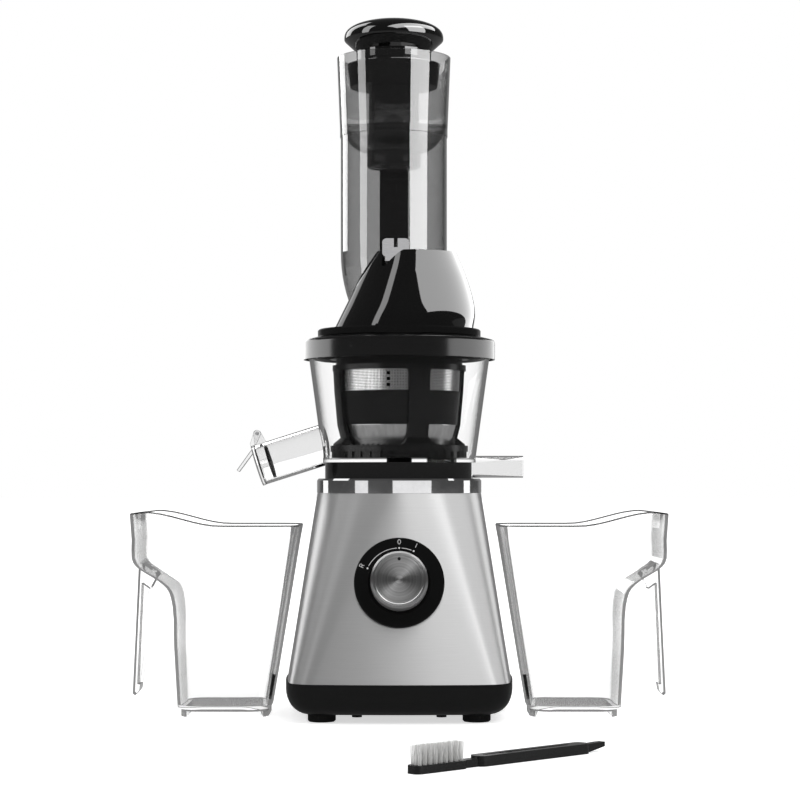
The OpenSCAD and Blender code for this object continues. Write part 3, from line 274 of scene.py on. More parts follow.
def brushed_steel():
    """Brushed round the body, so that each light is drawn out upwards and downwards."""
    s = Shader("steel_brushed", Metallic=1.0, Anisotropic=0.85, Anisotropic_Rotation=0.25)
    lines = s.noise(s.coordinates(scale=(0.012, 0.012, 1)), STEEL_LINES, 3, 0.6)
    patches = s.noise(s.coordinates(scale=(0.3, 0.3, 1)), STEEL_PATCHES)
    streaks = s.ramp(lines, [(0.25, 0.6), (0.75, 0.67)])
    s.paint("Base Color", s.mix(s.span(patches, 0.0, 0.5), streaks, 0.64))
    low, high = STEEL_ROUGH - STEEL_ROUGH_SWING, STEEL_ROUGH + STEEL_ROUGH_SWING
    s.paint("Roughness", s.span(lines, low, high, (0.3, 0.7)))
    s.bump(lines, 0.06, STEEL_LINE_DEPTH)
    tangent = s.add("ShaderNodeTangent", direction_type="RADIAL", axis="Z")
    s.paint("Tangent", tangent.outputs[0])
    return s.material


def clear_plastic(name, middle, edge, tint, ior=1.49, coat=0.0, cloud=0.0, turn=(0.7, 0.92)):
    """See-through plastic that goes from middle to edge where the eye meets it at a flat angle: the darker
    edge tint is partly the longer path through the plastic and partly painted shade that draws dark
    outlines.
    """
    s = Shader(name, IOR=ior, Transmission_Weight=1.0 - cloud, Coat_Weight=coat, Coat_Roughness=0.03)
    # painted shade: the tint darkens towards edge where the surface is seen at a flat angle, drawing dark
    # outlines; only part of it is the longer path through the plastic
    facing = s.add("ShaderNodeLayerWeight")
    facing.inputs["Blend"].default_value = 0.5
    stops = [(0.0, middle), (turn[0], middle), (turn[1], edge)]
    s.paint("Base Color", s.ramp(facing.outputs["Facing"], stops))
    haze = s.noise(s.coordinates(), HAZE_SPOTS)
    s.paint("Roughness", s.span(haze, CLEAR_ROUGH * 0.6, CLEAR_ROUGH * 1.4))
    s.let_lamps_through(tint)
    return s.material


def joint_of(name):
    return next(j for j in frame["joints"] if j["name"] == name)


DIAL_AT = Vector(joint_of("knob_turn")["pos_m"])
DIAL_OUT = Vector(joint_of("knob_turn")["axis"]).normalized()
DIAL_UP = Vector((0, DIAL_OUT.z, -DIAL_OUT.y)).normalized()
DIAL_TURN = (math.atan2(math.hypot(DIAL_OUT.x, DIAL_OUT.y), DIAL_OUT.z), 0, 0)
FINE_RINGS, BROAD_RINGS = 2600, 700
RING_DEPTH = 0.06 * MM


def spun_steel():
    """Face of the knob: rings turned into steel, with the bow-tie sheen of a lathe."""
    s = Shader("knob_steel", Metallic=1.0, Anisotropic=0.9, Anisotropic_Rotation=0.25)
    parts = s.add("ShaderNodeSeparateXYZ")
    s.link(s.coordinates(at=tuple(DIAL_AT), turn=DIAL_TURN), parts.inputs[0])
    x, y, _ = parts.outputs
    radius = s.math("SQRT", s.math("ADD", s.math("MULTIPLY", x, x), s.math("MULTIPLY", y, y)))
    joined = s.add("ShaderNodeCombineXYZ")
    s.link(radius, joined.inputs[0])
    rings = s.noise(joined.outputs[0], FINE_RINGS, 3, 0.6)
    broad = s.noise(joined.outputs[0], BROAD_RINGS)
    s.paint("Roughness", s.span(rings, 0.26, 0.4, (0.3, 0.7)))
    s.paint("Base Color", s.ramp(broad, [(0.3, 0.5), (0.7, 0.78)]))
    s.bump(s.math("ADD", rings, broad), 0.35, RING_DEPTH)
    # the direction of turning, round the knob's axis, wherever the knob stands
    place = s.add("ShaderNodeTexCoord")
    arm = s.add("ShaderNodeVectorMath", operation="SUBTRACT")
    s.link(place.outputs["Object"], arm.inputs[0])
    arm.inputs[1].default_value = DIAL_AT
    around = s.add("ShaderNodeVectorMath", operation="CROSS_PRODUCT")
    around.inputs[0].default_value = DIAL_OUT
    s.link(arm.outputs[0], around.inputs[1])
    in_world = s.add("ShaderNodeVectorTransform", vector_type="VECTOR",
                     convert_from="OBJECT", convert_to="WORLD")
    s.link(around.outputs[0], in_world.inputs[0])
    s.paint("Tangent", in_world.outputs[0])
    return s.material


STRAINER_R = 44 * MM
HOLE_PITCH = 1.1 * MM
HOLES_H = 19.5 * MM     # from the strainer's rim down to the black band
HOLE_DEPTH = 0.15 * MM


def strainer_steel():
    """Thin steel with fine round holes above the black band."""
    s = Shader("strainer_steel", Metallic=1.0)
    parts = s.add("ShaderNodeSeparateXYZ")
    s.link(s.coordinates(), parts.inputs[0])
    around = s.math("MULTIPLY", s.math("ARCTAN2", parts.outputs[1], parts.outputs[0]), STRAINER_R)
    flat = s.add("ShaderNodeCombineXYZ")
    s.link(around, flat.inputs[0])
    s.link(parts.outputs[2], flat.inputs[1])
    cells = s.add("ShaderNodeTexVoronoi", voronoi_dimensions="2D")
    s.link(flat.outputs[0], cells.inputs["Vector"])
    cells.inputs["Scale"].default_value = 1 / HOLE_PITCH
    cells.inputs["Randomness"].default_value = 0.0
    holes = s.span(cells.outputs["Distance"], 0.0, 1.0, (0.26, 0.34))
    above = s.math("GREATER_THAN", parts.outputs[2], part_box("strainer")[1].z - HOLES_H)
    solid = s.math("MAXIMUM", holes, s.math("SUBTRACT", 1.0, above))
    grain = s.ramp(s.noise(s.coordinates(scale=(1, 1, 0.02)), 400, 3), [(0.3, 0.66), (0.7, 0.8)])
    s.paint("Base Color", s.mix(solid, 0.03, grain))
    s.paint("Roughness", s.span(solid, 0.6, 0.24))
    s.bump(solid, 0.6, HOLE_DEPTH)
    return s.material


def grey(level):
    return (level, level, level * 1.01)


def make_materials():
    return {
        "rubber": moulded("rubber", grey(0.012), 0.7, 0.5, level=0.2),
        "base_black": moulded("base_black", grey(0.01), 0.42, 0.3, level=0.2),
        "steel_brushed": brushed_steel(),
        "chrome": metal("chrome", (0.86, 0.86, 0.87), 0.05, lines=80, depth=0.0, speck=0.2),
        "deck_black": moulded("deck_black", grey(0.008), 0.45, level=0.2),
        "gloss_black": moulded("gloss_black", grey(0.004), 0.04, 0.0, ior=1.7, speck=0.3),
        "bezel_black": moulded("bezel_black", grey(0.006), 0.3, 0.1, level=0.25),
        "lid_black": moulded("lid_black", grey(0.008), 0.18, 0.15, level=0.8),
        "frame_black": moulded("frame_black", grey(0.006), 0.25, 0.1, level=0.25),
        "knob_steel": spun_steel(),
        "strainer_steel": strainer_steel(),
        "machine_steel": metal("machine_steel", (0.56, 0.56, 0.57), 0.3, scale=(0.03, 0.03, 1), lines=900),
        "cast_alloy": metal("cast_alloy", (0.5, 0.51, 0.52), 0.5, lines=500, depth=0.6),
        "copper": metal("copper", (0.6, 0.24, 0.1), 0.35, scale=(0.05, 0.05, 1), lines=2500, depth=0.6),
        "bronze": metal("bronze", (0.5, 0.36, 0.16), 0.4, lines=900),
        "gear_nylon": moulded("gear_nylon", (0.72, 0.7, 0.62), 0.4),
        "switch_grey": moulded("switch_grey", grey(0.05), 0.5),
        # the second tint of each clear plastic is its edge tint: partly the longer path through the
        # plastic, partly painted shade along its outlines
        "clear_plastic": clear_plastic("clear_plastic", 0.95, 0.3, 0.9),
        "bowl_clear": clear_plastic("bowl_clear", 1.0, 0.3, 0.97, ior=1.16, turn=(0.62, 0.85)),
        "smoke_plastic": clear_plastic("smoke_plastic", 0.54, 0.22, 0.55, coat=1.0),
        "smoke_light": clear_plastic("smoke_light", 0.72, 0.3, 0.7, cloud=0.1),
        "silicone": moulded("silicone", grey(0.008), 0.5, 0.3, level=0.25),
        "gasket": moulded("gasket", grey(0.5), 0.5),
        "auger_black": moulded("auger_black", grey(0.008), 0.3, level=0.3),
        "jug_clear": clear_plastic("jug_clear", 0.965, 0.02, 0.95, turn=(0.86, 0.97)),
        # painted shade: clear plastic tinted near black for a thin band under the jugs' rim, drawing a dark
        # line along it
        "jug_rim_painted_shade": clear_plastic("jug_rim_painted_shade", 0.1, 0.05, 0.95, ior=1.03),
        "brush_black": moulded("brush_black", grey(0.01), 0.22, 0.1, level=0.4),
        "bristle": moulded("bristle", (0.85, 0.85, 0.84), 0.4, 0.0),
    }


NODE_MATERIAL = {"dial_bezel": "bezel_black", "strainer": "strainer_steel", "wiper_frame": "frame_black",
                 "strainer_frame": "frame_black", "base_screws": "rubber", "bowl": "bowl_clear",
                 "pusher_plunger": "smoke_light", "latch_button": "machine_steel"}
SLOT = {p["node"]: p["material_slot"] for p in frame["record"]["subparts"]}


def material_for(node):
    return materials[NODE_MATERIAL.get(node, SLOT[node])]


def dress():
    for name, obj in nodes.items():
        obj.data.materials.clear()
        obj.data.materials.append(material_for(name))


# ================= mesh helpers, drawn in millimetres =================


PIN_HOLE_R = 0.02
NO_HARD_EDGES = 180
ROUND_STEPS = 128


def mesh_of(points, faces):
    mesh = bpy.data.meshes.new("work")
    mesh.from_pydata([tuple(c * MM for c in p) for p in points], [], faces)
    return mesh


def add_piece(name, mesh, node, sharp=30.0, replaces=True):
    """A smooth-shaded piece with hard edges where its faces turn by more than sharp degrees."""
    finish_mesh(mesh, sharp)
    mesh.name = name
    obj = add_object(name, mesh)
    mesh.materials.clear()
    mesh.materials.append(material_for(node))
    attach(obj, nodes[node]["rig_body"])
    if replaces:
        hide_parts(node)


def finish_mesh(mesh, sharp):
    work = bmesh.new()
    work.from_mesh(mesh)
    bmesh.ops.remove_doubles(work, verts=work.verts, dist=0.000002)
    bmesh.ops.recalc_face_normals(work, faces=work.faces)
    work.to_mesh(mesh)
    work.free()
    mesh.shade_smooth()
    mesh.set_sharp_from_angle(angle=math.radians(sharp))


def loft(rings, closed=False):
    """Points and faces through rings of equally many points; capped, or closed on itself."""
    n, m = len(rings[0]), len(rings)
    points = [p for ring in rings for p in ring]
    faces = [(i * n + j, i * n + (j + 1) % n, (i + 1) % m * n + (j + 1) % n, (i + 1) % m * n + j)
             for i in range(m if closed else m - 1) for j in range(n)]
    if not closed:
        faces += [tuple(reversed(range(n))), tuple((m - 1) * n + j for j in range(n))]
    return points, faces


def circle(radius, z, at=(0, 0), steps=96):
    turns = [2 * math.pi * k / steps for k in range(steps)]
    return [(at[0] + radius * math.cos(t), at[1] + radius * math.sin(t), z) for t in turns]


def lathe(profile, at=(0, 0), steps=96):
    """Turned solid from a closed outline of radius and height, with a pin hole along the axis."""
    return loft([circle(max(r, PIN_HOLE_R), z, at, steps) for r, z in profile], closed=True)


def rod(radius, low, high):
    """Outline of a plain cylinder between two heights."""
    return [(0, low), (radius, low), (radius, high), (0, high)]


def box_points(low, high):
    (x0, y0, z0), (x1, y1, z1) = low, high
    return loft([[(x0, y0, z), (x1, y0, z), (x1, y1, z), (x0, y1, z)] for z in (z0, z1)])


def carve(mesh, cutters, joined=()):
    """A new mesh with solids joined to it and others cut out of it, each given as points and faces."""
    body = add_object("body_to_cut", mesh)
    finish_mesh(mesh, NO_HARD_EDGES)
    tools = []
    for points, faces, operation in [(*j, "UNION") for j in joined] + [(*c, "DIFFERENCE") for c in cutters]:
        tool = add_object("tool", mesh_of(points, faces))
        finish_mesh(tool.data, NO_HARD_EDGES)
        modifier = body.modifiers.new("cut", "BOOLEAN")
        modifier.operation, modifier.solver, modifier.object = operation, "EXACT", tool
        tools.append(tool)
    shape = body.evaluated_get(bpy.context.evaluated_depsgraph_get())
    result = bpy.data.meshes.new_from_object(shape)
    for obj in [body] + tools:
        bpy.data.objects.remove(obj)
    return result


def smooth_line(stops, t):
    """Value at t of a smooth curve through (t, value) stops."""
    slopes = [(b[1] - a[1]) / (b[0] - a[0]) for a, b in zip(stops, stops[1:])]
    bends = [slopes[0]] + [(a + b) / 2 for a, b in zip(slopes, slopes[1:])] + [slopes[-1]]
    k = next((i for i in range(len(slopes)) if t <= stops[i + 1][0]), len(slopes) - 1)
    (t0, v0), (t1, v1) = stops[k], stops[k + 1]
    h = t1 - t0
    u = (t - t0) / h
    return ((2 * u ** 3 - 3 * u ** 2 + 1) * v0 + (u ** 3 - 2 * u ** 2 + u) * h * bends[k]
            + (3 * u ** 2 - 2 * u ** 3) * v1 + (u ** 3 - u ** 2) * h * bends[k + 1])


# ================= body =================

(_, _, BASE_Z), (HALF_FOOT, _, _) = corners("base_housing")
(_, _, SHELL_Z), (_, _, SHELL_TOP_Z) = corners("body_shell")
BOW_R = 620.0           # of each side's bow, seen from above
CORNER_R = 22.0
LEDGE = 1.2             # of the base housing round the foot of the steel
SHELL_TOP_R = 60.0
SHELL_WALL = 1.5
SHELL_STEPS = 14
DIAL_HOLE_R, DIAL_HOLE_SPAN = 30.0, (-8, 6)     # radius, and the heights it is cut between
BASE_EDGE_R = 16.0
BASE_WALL = 3.0
PLATE_HALF = corners("base_plate")[1][0] + 0.2     # of the opening, with room for the bottom plate
PLATE_R = 10.0
CORD_HOLE_R, CORD_HOLE_Z = 6.2, 18.0
CORD_HOLE_SPAN = (-12, 3)   # from the foot's widest place
SIDE_STEPS, CORNER_STEPS = 8, 18
BOW_AT = HALF_FOOT - BOW_R
CORNER_AT = (BOW_AT + math.sqrt(2 * (BOW_R - CORNER_R) ** 2 - BOW_AT ** 2)) / 2
SIDE_TURN = math.degrees(math.asin(CORNER_AT / (BOW_R - CORNER_R)))
SIDE_ANGLES = [SIDE_TURN * i / SIDE_STEPS for i in range(-SIDE_STEPS, SIDE_STEPS + 1)]
CORNER_ANGLES = [SIDE_TURN + (90 - 2 * SIDE_TURN) * i / CORNER_STEPS for i in range(1, CORNER_STEPS)]
FOOT_ANGLES = [90 * q + a for q in range(4) for a in SIDE_ANGLES + CORNER_ANGLES]


def way(degrees, length=1.0):
    """x and y of a step of that length in that direction."""
    return length * math.cos(math.radians(degrees)), length * math.sin(math.radians(degrees))


def foot_ring(inset, z):
    """Bowed square: each side an arc, each corner an arc tangent to both its sides."""
    ring = []
    for a in FOOT_ANGLES:
        q = 90 * round(a / 90)
        side = abs(a - q) <= SIDE_TURN + 0.001
        cx, cy = way(q, BOW_AT) if side else way(90 * math.floor(a / 90) + 45, CORNER_AT * math.sqrt(2))
        ox, oy = way(a, (BOW_R if side else CORNER_R) - inset)
        ring.append((cx + ox, cy + oy, z))
    return ring


def plate_ring(half, radius, z):
    """Square with round corners, with its points at the angles of the foot's outline."""
    ring = []
    for a in FOOT_ANGLES:
        q = 90 * round(a / 90)
        flat = half - radius
        if abs(a - q) <= SIDE_TURN + 0.001:
            x, y = half, flat * (a - q) / SIDE_TURN
            c, s = way(q)
            ring.append((x * c - y * s, x * s + y * c, z))
        else:
            base = 90 * math.floor(a / 90)
            turn = base + 90 * (a - base - SIDE_TURN) / (90 - 2 * SIDE_TURN)
            cx, cy = way(base + 45, flat * math.sqrt(2))
            ox, oy = way(turn, radius)
            ring.append((cx + ox, cy + oy, z))
    return ring


def shell_rings(inset):
    """From the bowed square at the foot of the steel to the circle at its top."""
    foot, top = foot_ring(LEDGE + inset, 0), [way(a, SHELL_TOP_R - inset) for a in FOOT_ANGLES]
    rings = []
    for t in [i / SHELL_STEPS for i in range(SHELL_STEPS + 1)]:
        z = SHELL_Z + (SHELL_TOP_Z - SHELL_Z) * t
        rings.append([(p[0] + (q[0] - p[0]) * t, p[1] + (q[1] - p[1]) * t, z) for p, q in zip(foot, top)])
    return rings


def make_shell():
    skin = loft(shell_rings(0) + shell_rings(SHELL_WALL)[::-1], closed=True)
    hole = turned_at_dial(rod(DIAL_HOLE_R, *DIAL_HOLE_SPAN))
    add_piece("body_skin", carve(mesh_of(*skin), [hole]), "body_shell", 35)


def turned_at_dial(profile):
    """Turned solid round the dial's axis, heights counted outwards from the body."""
    points, faces = lathe(profile)
    right = Vector((1, 0, 0))
    at = DIAL_AT / MM
    return [tuple(at + right * x + DIAL_UP * y + DIAL_OUT * z) for x, y, z in points], faces


def make_base():
    """Tub with a rounded bottom edge, open at the bottom plate, with the cord's hole at the back."""
    def edge_rings(inset):
        edge = BASE_EDGE_R - inset
        turns = [math.radians(a) for a in range(0, 91, 9)]
        return [foot_ring(inset + edge * (1 - math.sin(t)), BASE_Z + inset + edge * (1 - math.cos(t)))
                for t in turns]

    outer = [plate_ring(PLATE_HALF, PLATE_R, BASE_Z), *edge_rings(0)]
    rim = [foot_ring(0, SHELL_Z - 0.5), foot_ring(0.5, SHELL_Z), foot_ring(BASE_WALL, SHELL_Z)]
    inner = [*edge_rings(BASE_WALL)[::-1], plate_ring(PLATE_HALF, PLATE_R, BASE_Z + BASE_WALL)]
    rings = outer + rim + inner
    points, faces = lathe(rod(CORD_HOLE_R, *(HALF_FOOT + d for d in CORD_HOLE_SPAN)), steps=48)
    hole = [(x, z, CORD_HOLE_Z - y) for x, y, z in points], faces
    add_piece("base_tub", carve(mesh_of(*loft(rings, closed=True)), [hole]), "base_housing", 35)


# ================= lid dome =================

(_, _, LID_TOP_Z), (_, FLANGE_R, DOME_TOP_Z) = corners("lid_dome")
CHUTE_LOW, CHUTE_HIGH = corners("chute")
FLANGE_TOP_Z = CHUTE_LOW[2]
DOME_H = DOME_TOP_Z - FLANGE_TOP_Z
DOME_WALL = 2.4
DOME_STEPS = 30
DOME_SINK = 0.1         # of the dome's foot into the flange
CROWN_RING = 26.0       # from the crown's edge to the ring that closes the roof
# height as a share, right edge, left edge
DOME_SECTIONS = ((0, 54.2, -48), (0.2, 55.7, -42.5), (0.35, 54.8, -38.3), (0.68, 49.5, -29.4),
                 (1, 42, -20.6))
CHUTE_AT = tuple((low + high) / 2 for low, high in zip(CHUTE_LOW[:2], CHUTE_HIGH[:2]))
CHUTE_R = (CHUTE_HIGH[0] - CHUTE_LOW[0]) / 2
CHUTE_ARC_R, CHUTE_FLARE_H = 110.0, 58.5
CHUTE_ARC_STEPS = 24
PART_GAP = 0.3          # round the chute and the latch button
WELL_SPAN = (-12, 8)    # heights the latch button's well is cut between, from the crown
FEED_R, HUB_R = 20.65, 10.5
PAST_CHUTE, PAST_FEED = 5, 1    # how far these two cutters reach past the flange
# of the tab: half its width, how far it stands out of, sits in and rises above the flange, and its bevel
TAB_HALF_W, TAB_OUT, TAB_IN, TAB_RISE, TAB_BEVEL = 17.0, 2, 3, 0.8, 0.5


def chute_outline(grow):
    """Radius and height up the outside of the chute's flared foot."""
    outline = []
    for i in range(CHUTE_ARC_STEPS + 1):
        drop = CHUTE_FLARE_H * (1 - i / CHUTE_ARC_STEPS)
        outline.append((CHUTE_R + grow - CHUTE_ARC_R + math.sqrt(CHUTE_ARC_R ** 2 - drop ** 2),
                        FLANGE_TOP_Z + CHUTE_FLARE_H - drop))
    return outline


def dome_mesh():
    """Hollow dome that leans left as it rises, with a closed roof."""
    def ring(t, inset, z):
        right = smooth_line([(height, edge) for height, edge, _ in DOME_SECTIONS], t)
        left = smooth_line([(height, edge) for height, _, edge in DOME_SECTIONS], t)
        return circle((right - left) / 2 - inset, z, ((right + left) / 2, 0), ROUND_STEPS)

    foot, shares = FLANGE_TOP_Z - DOME_SINK, [i / DOME_STEPS for i in range(DOME_STEPS + 1)]
    outer = [ring(t, 0, foot + (DOME_H - 0.5) * t) for t in shares]
    crown = [ring(1, 0.25, DOME_TOP_Z - 0.15), ring(1, 0.7, DOME_TOP_Z), ring(1, CROWN_RING, DOME_TOP_Z)]
    ceiling = DOME_TOP_Z - DOME_WALL
    roof = [ring(1, CROWN_RING, ceiling), ring(1, DOME_WALL, ceiling)]
    inner = [ring(t, DOME_WALL, foot + (DOME_H - DOME_WALL) * t) for t in shares[:-1]]
    points, faces = loft(outer + crown + roof + inner[::-1], closed=True)
    # the crown's and the roof's inner rings each get a lid, and the wall between them goes
    n = ROUND_STEPS
    above, below = len(outer + crown) - 1, len(outer + crown)
    faces = [f for f in faces if {f[0] // n, f[2] // n} != {above, below}]
    faces += [tuple(range(above * n, above * n + n)), tuple(reversed(range(below * n, below * n + n)))]
    return mesh_of(points, faces)


def make_dome():
    foot = chute_outline(PART_GAP)
    below = FLANGE_TOP_Z - PAST_CHUTE
    chute = lathe([(0, below), (foot[0][0], below), *foot, (0, FLANGE_TOP_Z + CHUTE_FLARE_H)],
                  CHUTE_AT, ROUND_STEPS)
    (x0, y0, _), (x1, y1, _) = corners("latch_button")
    z0, z1 = (DOME_TOP_Z + z for z in WELL_SPAN)
    well = box_points((x0 - PART_GAP, y0 - PART_GAP, z0), (x1 + PART_GAP, y1 + PART_GAP, z1))
    add_piece("dome_skin", carve(dome_mesh(), [chute, well]), "lid_dome", 40)


def make_flange():
    rim = lathe([(HUB_R, LID_TOP_Z), (FLANGE_R - 0.6, LID_TOP_Z), (FLANGE_R, LID_TOP_Z + 0.6),
                 (FLANGE_R, FLANGE_TOP_Z - 0.9), (FLANGE_R - 0.9, FLANGE_TOP_Z), (HUB_R, FLANGE_TOP_Z)],
                steps=ROUND_STEPS)
    feed = lathe(rod(FEED_R, LID_TOP_Z - PAST_FEED, FLANGE_TOP_Z + PAST_FEED), CHUTE_AT, 64)
    add_piece("dome_flange", carve(mesh_of(*rim), [feed]), "lid_dome", replaces=False)


def make_tab():
    """Bevelled tab at the front of the flange."""
    tab = mesh_of(*box_points((-TAB_HALF_W, -FLANGE_R - TAB_OUT, LID_TOP_Z),
                              (TAB_HALF_W, -FLANGE_R + TAB_IN, FLANGE_TOP_Z + TAB_RISE)))
    work = bmesh.new()
    work.from_mesh(tab)
    bmesh.ops.bevel(work, geom=list(work.edges), offset=TAB_BEVEL * MM, segments=2, affect="EDGES")
    work.to_mesh(tab)
    work.free()
    add_piece("dome_tab", tab, "lid_dome", 40, replaces=False)


# ================= pusher grip =================

SPIGOT_H = 10.0         # of the grip's spigot below the flange that rests on the cup's tube
SEAT_Z = corners("pusher_grip")[0][2] + SPIGOT_H
GRIP_R = corners("pusher_grip")[1][0] - CHUTE_AT[0]
GRIP_Z, CAP_H = 36.3, 14.2      # from the seat to the cap's widest ring, and from there to its top
PLUNGER_R, PLUNGER_WALL = 16.4, 1.8
CAP_STEPS = 26


def make_grip():
    """Mushroom grip: a flattened cap, a waist, the flange and the spigot."""
    turns = [math.radians(90 - 90 * (i / CAP_STEPS) ** 0.8) for i in range(CAP_STEPS + 1)]
    cap = [(GRIP_R * math.cos(t), GRIP_Z + CAP_H * math.sin(t) ** 0.75) for t in turns]
    bore = PLUNGER_R - PLUNGER_WALL
    underside = [(GRIP_R - 0.1, GRIP_Z - 0.6), (GRIP_R - 0.6, GRIP_Z - 1.4), (GRIP_R - 8.4, GRIP_Z - 8.6),
                 (GRIP_R - 9.1, GRIP_Z - 9.6), (GRIP_R - 9.4, 19.4), (GRIP_R - 8.6, 18.4)]
    flange = [(34.2, 17.1), (34.4, 16.6), (32.3, 0.3), (32.0, 0), (PLUNGER_R, 0), (PLUNGER_R, 8)]
    spigot = [(bore, 8), (bore, -SPIGOT_H), (bore - 3, -SPIGOT_H), (bore - 3, 30), (0, 34)]
    profile = [(r, SEAT_Z + z) for r, z in cap + underside + flange + spigot]
    add_piece("pusher_knob", mesh_of(*lathe(profile, CHUTE_AT, ROUND_STEPS)), "pusher_grip", 28)


# ================= jugs =================

# a jug is drawn with its pouring edge at x = 0 and its handle towards -x
JUG_RIM_X, _, _ = corners("pulp_jug")[0]
_, JUG_HALF_RIM, _ = corners("pulp_jug")[1]
JUG_H = 139.0
JUG_WALL = 2.2
JUG_HALF_FOOT = 35.0
JUG_CORNER_R = 17.0
JUG_CORNER_TURNS = range(0, 91, 9)
JUG_SIDE_STEPS = 12
# height of the band under the rim that is painted dark, as shade along the rim
RIM_SHADE_H = 0.9 * JUG_WALL
# two ends along x, half width and corner radius
FOOT_EDGE = (-86.4, -22.8, JUG_HALF_FOOT - 1.4, 15)
FOOT_HOLLOW = (-82.6, -26.6, JUG_HALF_FOOT - 5, 10)
FOOT_Z, FOOT_HOLLOW_Z, INNER_FLOOR_Z = 5.6, 4.2, 8.1
INSIDE_LIFT = 0.4       # of the levels inside over those outside
WALL_LEVELS = [12, 20, 30, 40, 50, 60, 70, 80, 86, 90, 93, 96, 99.5, 103, 106.5, 109, 111.4, 115, 121, 128]
# height and place of the handle's side and of the pouring side
HANDLE_SIDE = ((6, -89), (50, -91.1), (86, -93), (93, -96), (99.5, -103.5), (106.5, -115), (111.4, -119.8),
               (128, -120.8), (JUG_H, -122))
POUR_SIDE = ((6, -21.6), (50, -14.3), (128, -1.8), (JUG_H, 0))
# outlines of the handle and of its hollow: x and height
HANDLE = ((-118.2, 109), (-122.6, 15.5), (-121, 14), (-118, 17.5), (-112.3, 59), (-111.2, 90),
          (-106.5, 98.6), (-108, 104))
HANDLE_HOLLOW = ((-116.4, 96), (-119.6, 22), (-115, 22), (-109.3, 59), (-108, 90))
HANDLE_HALF_W = 11.0
# the rim climbs by RISE_H over RISE_L from x = -RISE_X, and sinks by BACK_DROP over BACK_L at the handle
RISE_X, RISE_L, RISE_H, RISE_MOST = 56, 54, 9.8, 9.78
BACK_X, BACK_L, BACK_DROP = 110, 12, 1.4


def share_past(x, start, length):
    return min(max((-x - start) / length, 0), 1)


def rim_rise(x):
    """How much higher the rim is than at the pouring side."""
    t = share_past(x, RISE_X, RISE_L)
    return min(RISE_H * (3 * t * t - 2 * t ** 3) - BACK_DROP * share_past(x, BACK_X, BACK_L), RISE_MOST)


def jug_ring(x0, x1, half, radius, z, rise=0.0):
    """Rectangle with round corners and points along its sides."""
    arcs = []
    for q, (x, y) in enumerate(((x1, half), (x0, half), (x0, -half), (x1, -half))):
        cx, cy = x - math.copysign(radius, x - (x0 + x1) / 2), y - math.copysign(radius, y)
        turned = [way(90 * q + a, radius) for a in JUG_CORNER_TURNS]
        arcs.append([(cx + dx, cy + dy) for dx, dy in turned])
    ring = []
    for arc, after in zip(arcs, arcs[1:] + arcs[:1]):
        (sx, sy), (tx, ty) = arc[-1], after[0]
        shares = [k / JUG_SIDE_STEPS for k in range(1, JUG_SIDE_STEPS)]
        ring += arc + [(sx + (tx - sx) * t, sy + (ty - sy) * t) for t in shares]
    return [(x, y, z + rise * rim_rise(x)) for x, y in ring]


def jug_level(z, inset, rise=0.0, lift=0.0):
    half = JUG_HALF_FOOT + (JUG_HALF_RIM - JUG_HALF_FOOT) * z / JUG_H - inset
    return jug_ring(smooth_line(HANDLE_SIDE, z) + inset, smooth_line(POUR_SIDE, z) - inset, half,
                    JUG_CORNER_R - 2 * inset / JUG_WALL, z + lift, rise)


def slab(outline, half):
    """Flat shape in the middle plane, as thick as twice half."""
    return loft([[(x, y, z) for x, z in outline] for y in (-half, half)])


def jug_shape():
    """Lofted beaker with a rounded lip, a hollow foot and a channel-shaped handle."""
    foot = [jug_ring(*FOOT_HOLLOW, z) for z in (FOOT_HOLLOW_Z, 0)]
    foot += [jug_ring(*FOOT_EDGE, z) for z in (0, FOOT_Z)]
    outside = [jug_level(z, 0) for z in [HANDLE_SIDE[0][0], *WALL_LEVELS]]
    r = JUG_WALL / 2
    lip = [jug_level(JUG_H, r * (1 - math.cos(t)), 1.0, r * (math.sin(t) - 1))
           for t in [math.radians(a) for a in range(0, 181, 18)]]
    inside = [jug_level(z, JUG_WALL, lift=INSIDE_LIFT) for z in [*WALL_LEVELS[::-1], INNER_FLOOR_Z]]
    handle, hollow = slab(HANDLE, HANDLE_HALF_W), slab(HANDLE_HOLLOW, HANDLE_HALF_W - JUG_WALL)
    return carve(mesh_of(*loft(foot + outside + lip + inside)), [hollow], [handle])


def make_jugs():
    for side, node, name in ((1, "juice_jug", "juice_beaker"), (-1, "pulp_jug", "pulp_beaker")):
        mesh = jug_shape()
        for v in mesh.vertices:
            v.co.x = side * (v.co.x - JUG_RIM_X * MM)
        add_piece(name, mesh, node, 32)
        mesh.materials.append(materials["jug_rim_painted_shade"])
        # faces in a band just under the rim take the second material, clear plastic tinted near black:
        # painted shade that draws a dark line along the rim
        for face in mesh.polygons:
            x = -abs(face.center.x) / MM + JUG_RIM_X
            face.material_index = int(face.center.z / MM > JUG_H + rim_rise(x) - RIM_SHADE_H)


# ================= brush =================

BRUSH_AT = (7.0, -338.0)
BRUSH_TURN = 42.8
BRUSH_HEAD_L = 34.0
TUFTS_ALONG, TUFTS_ACROSS = 9, (-3.0, 0.0, 3.0)
TUFT_START = 4.0
TUFT_R = 1.15
TUFT_ROOT_Z, TUFT_TOP_Z = 3.2, corners("brush_bristles")[1][2]
FILAMENTS = 20
FILAMENT_TURN = 2.39996     # from one filament to the next, in radians: sunflower order fills the tuft
FILAMENT_SIDES = 5
FAN_OUT, LEAN, UNEVEN_TOP = (0.15, 0.42), 0.25, 0.7


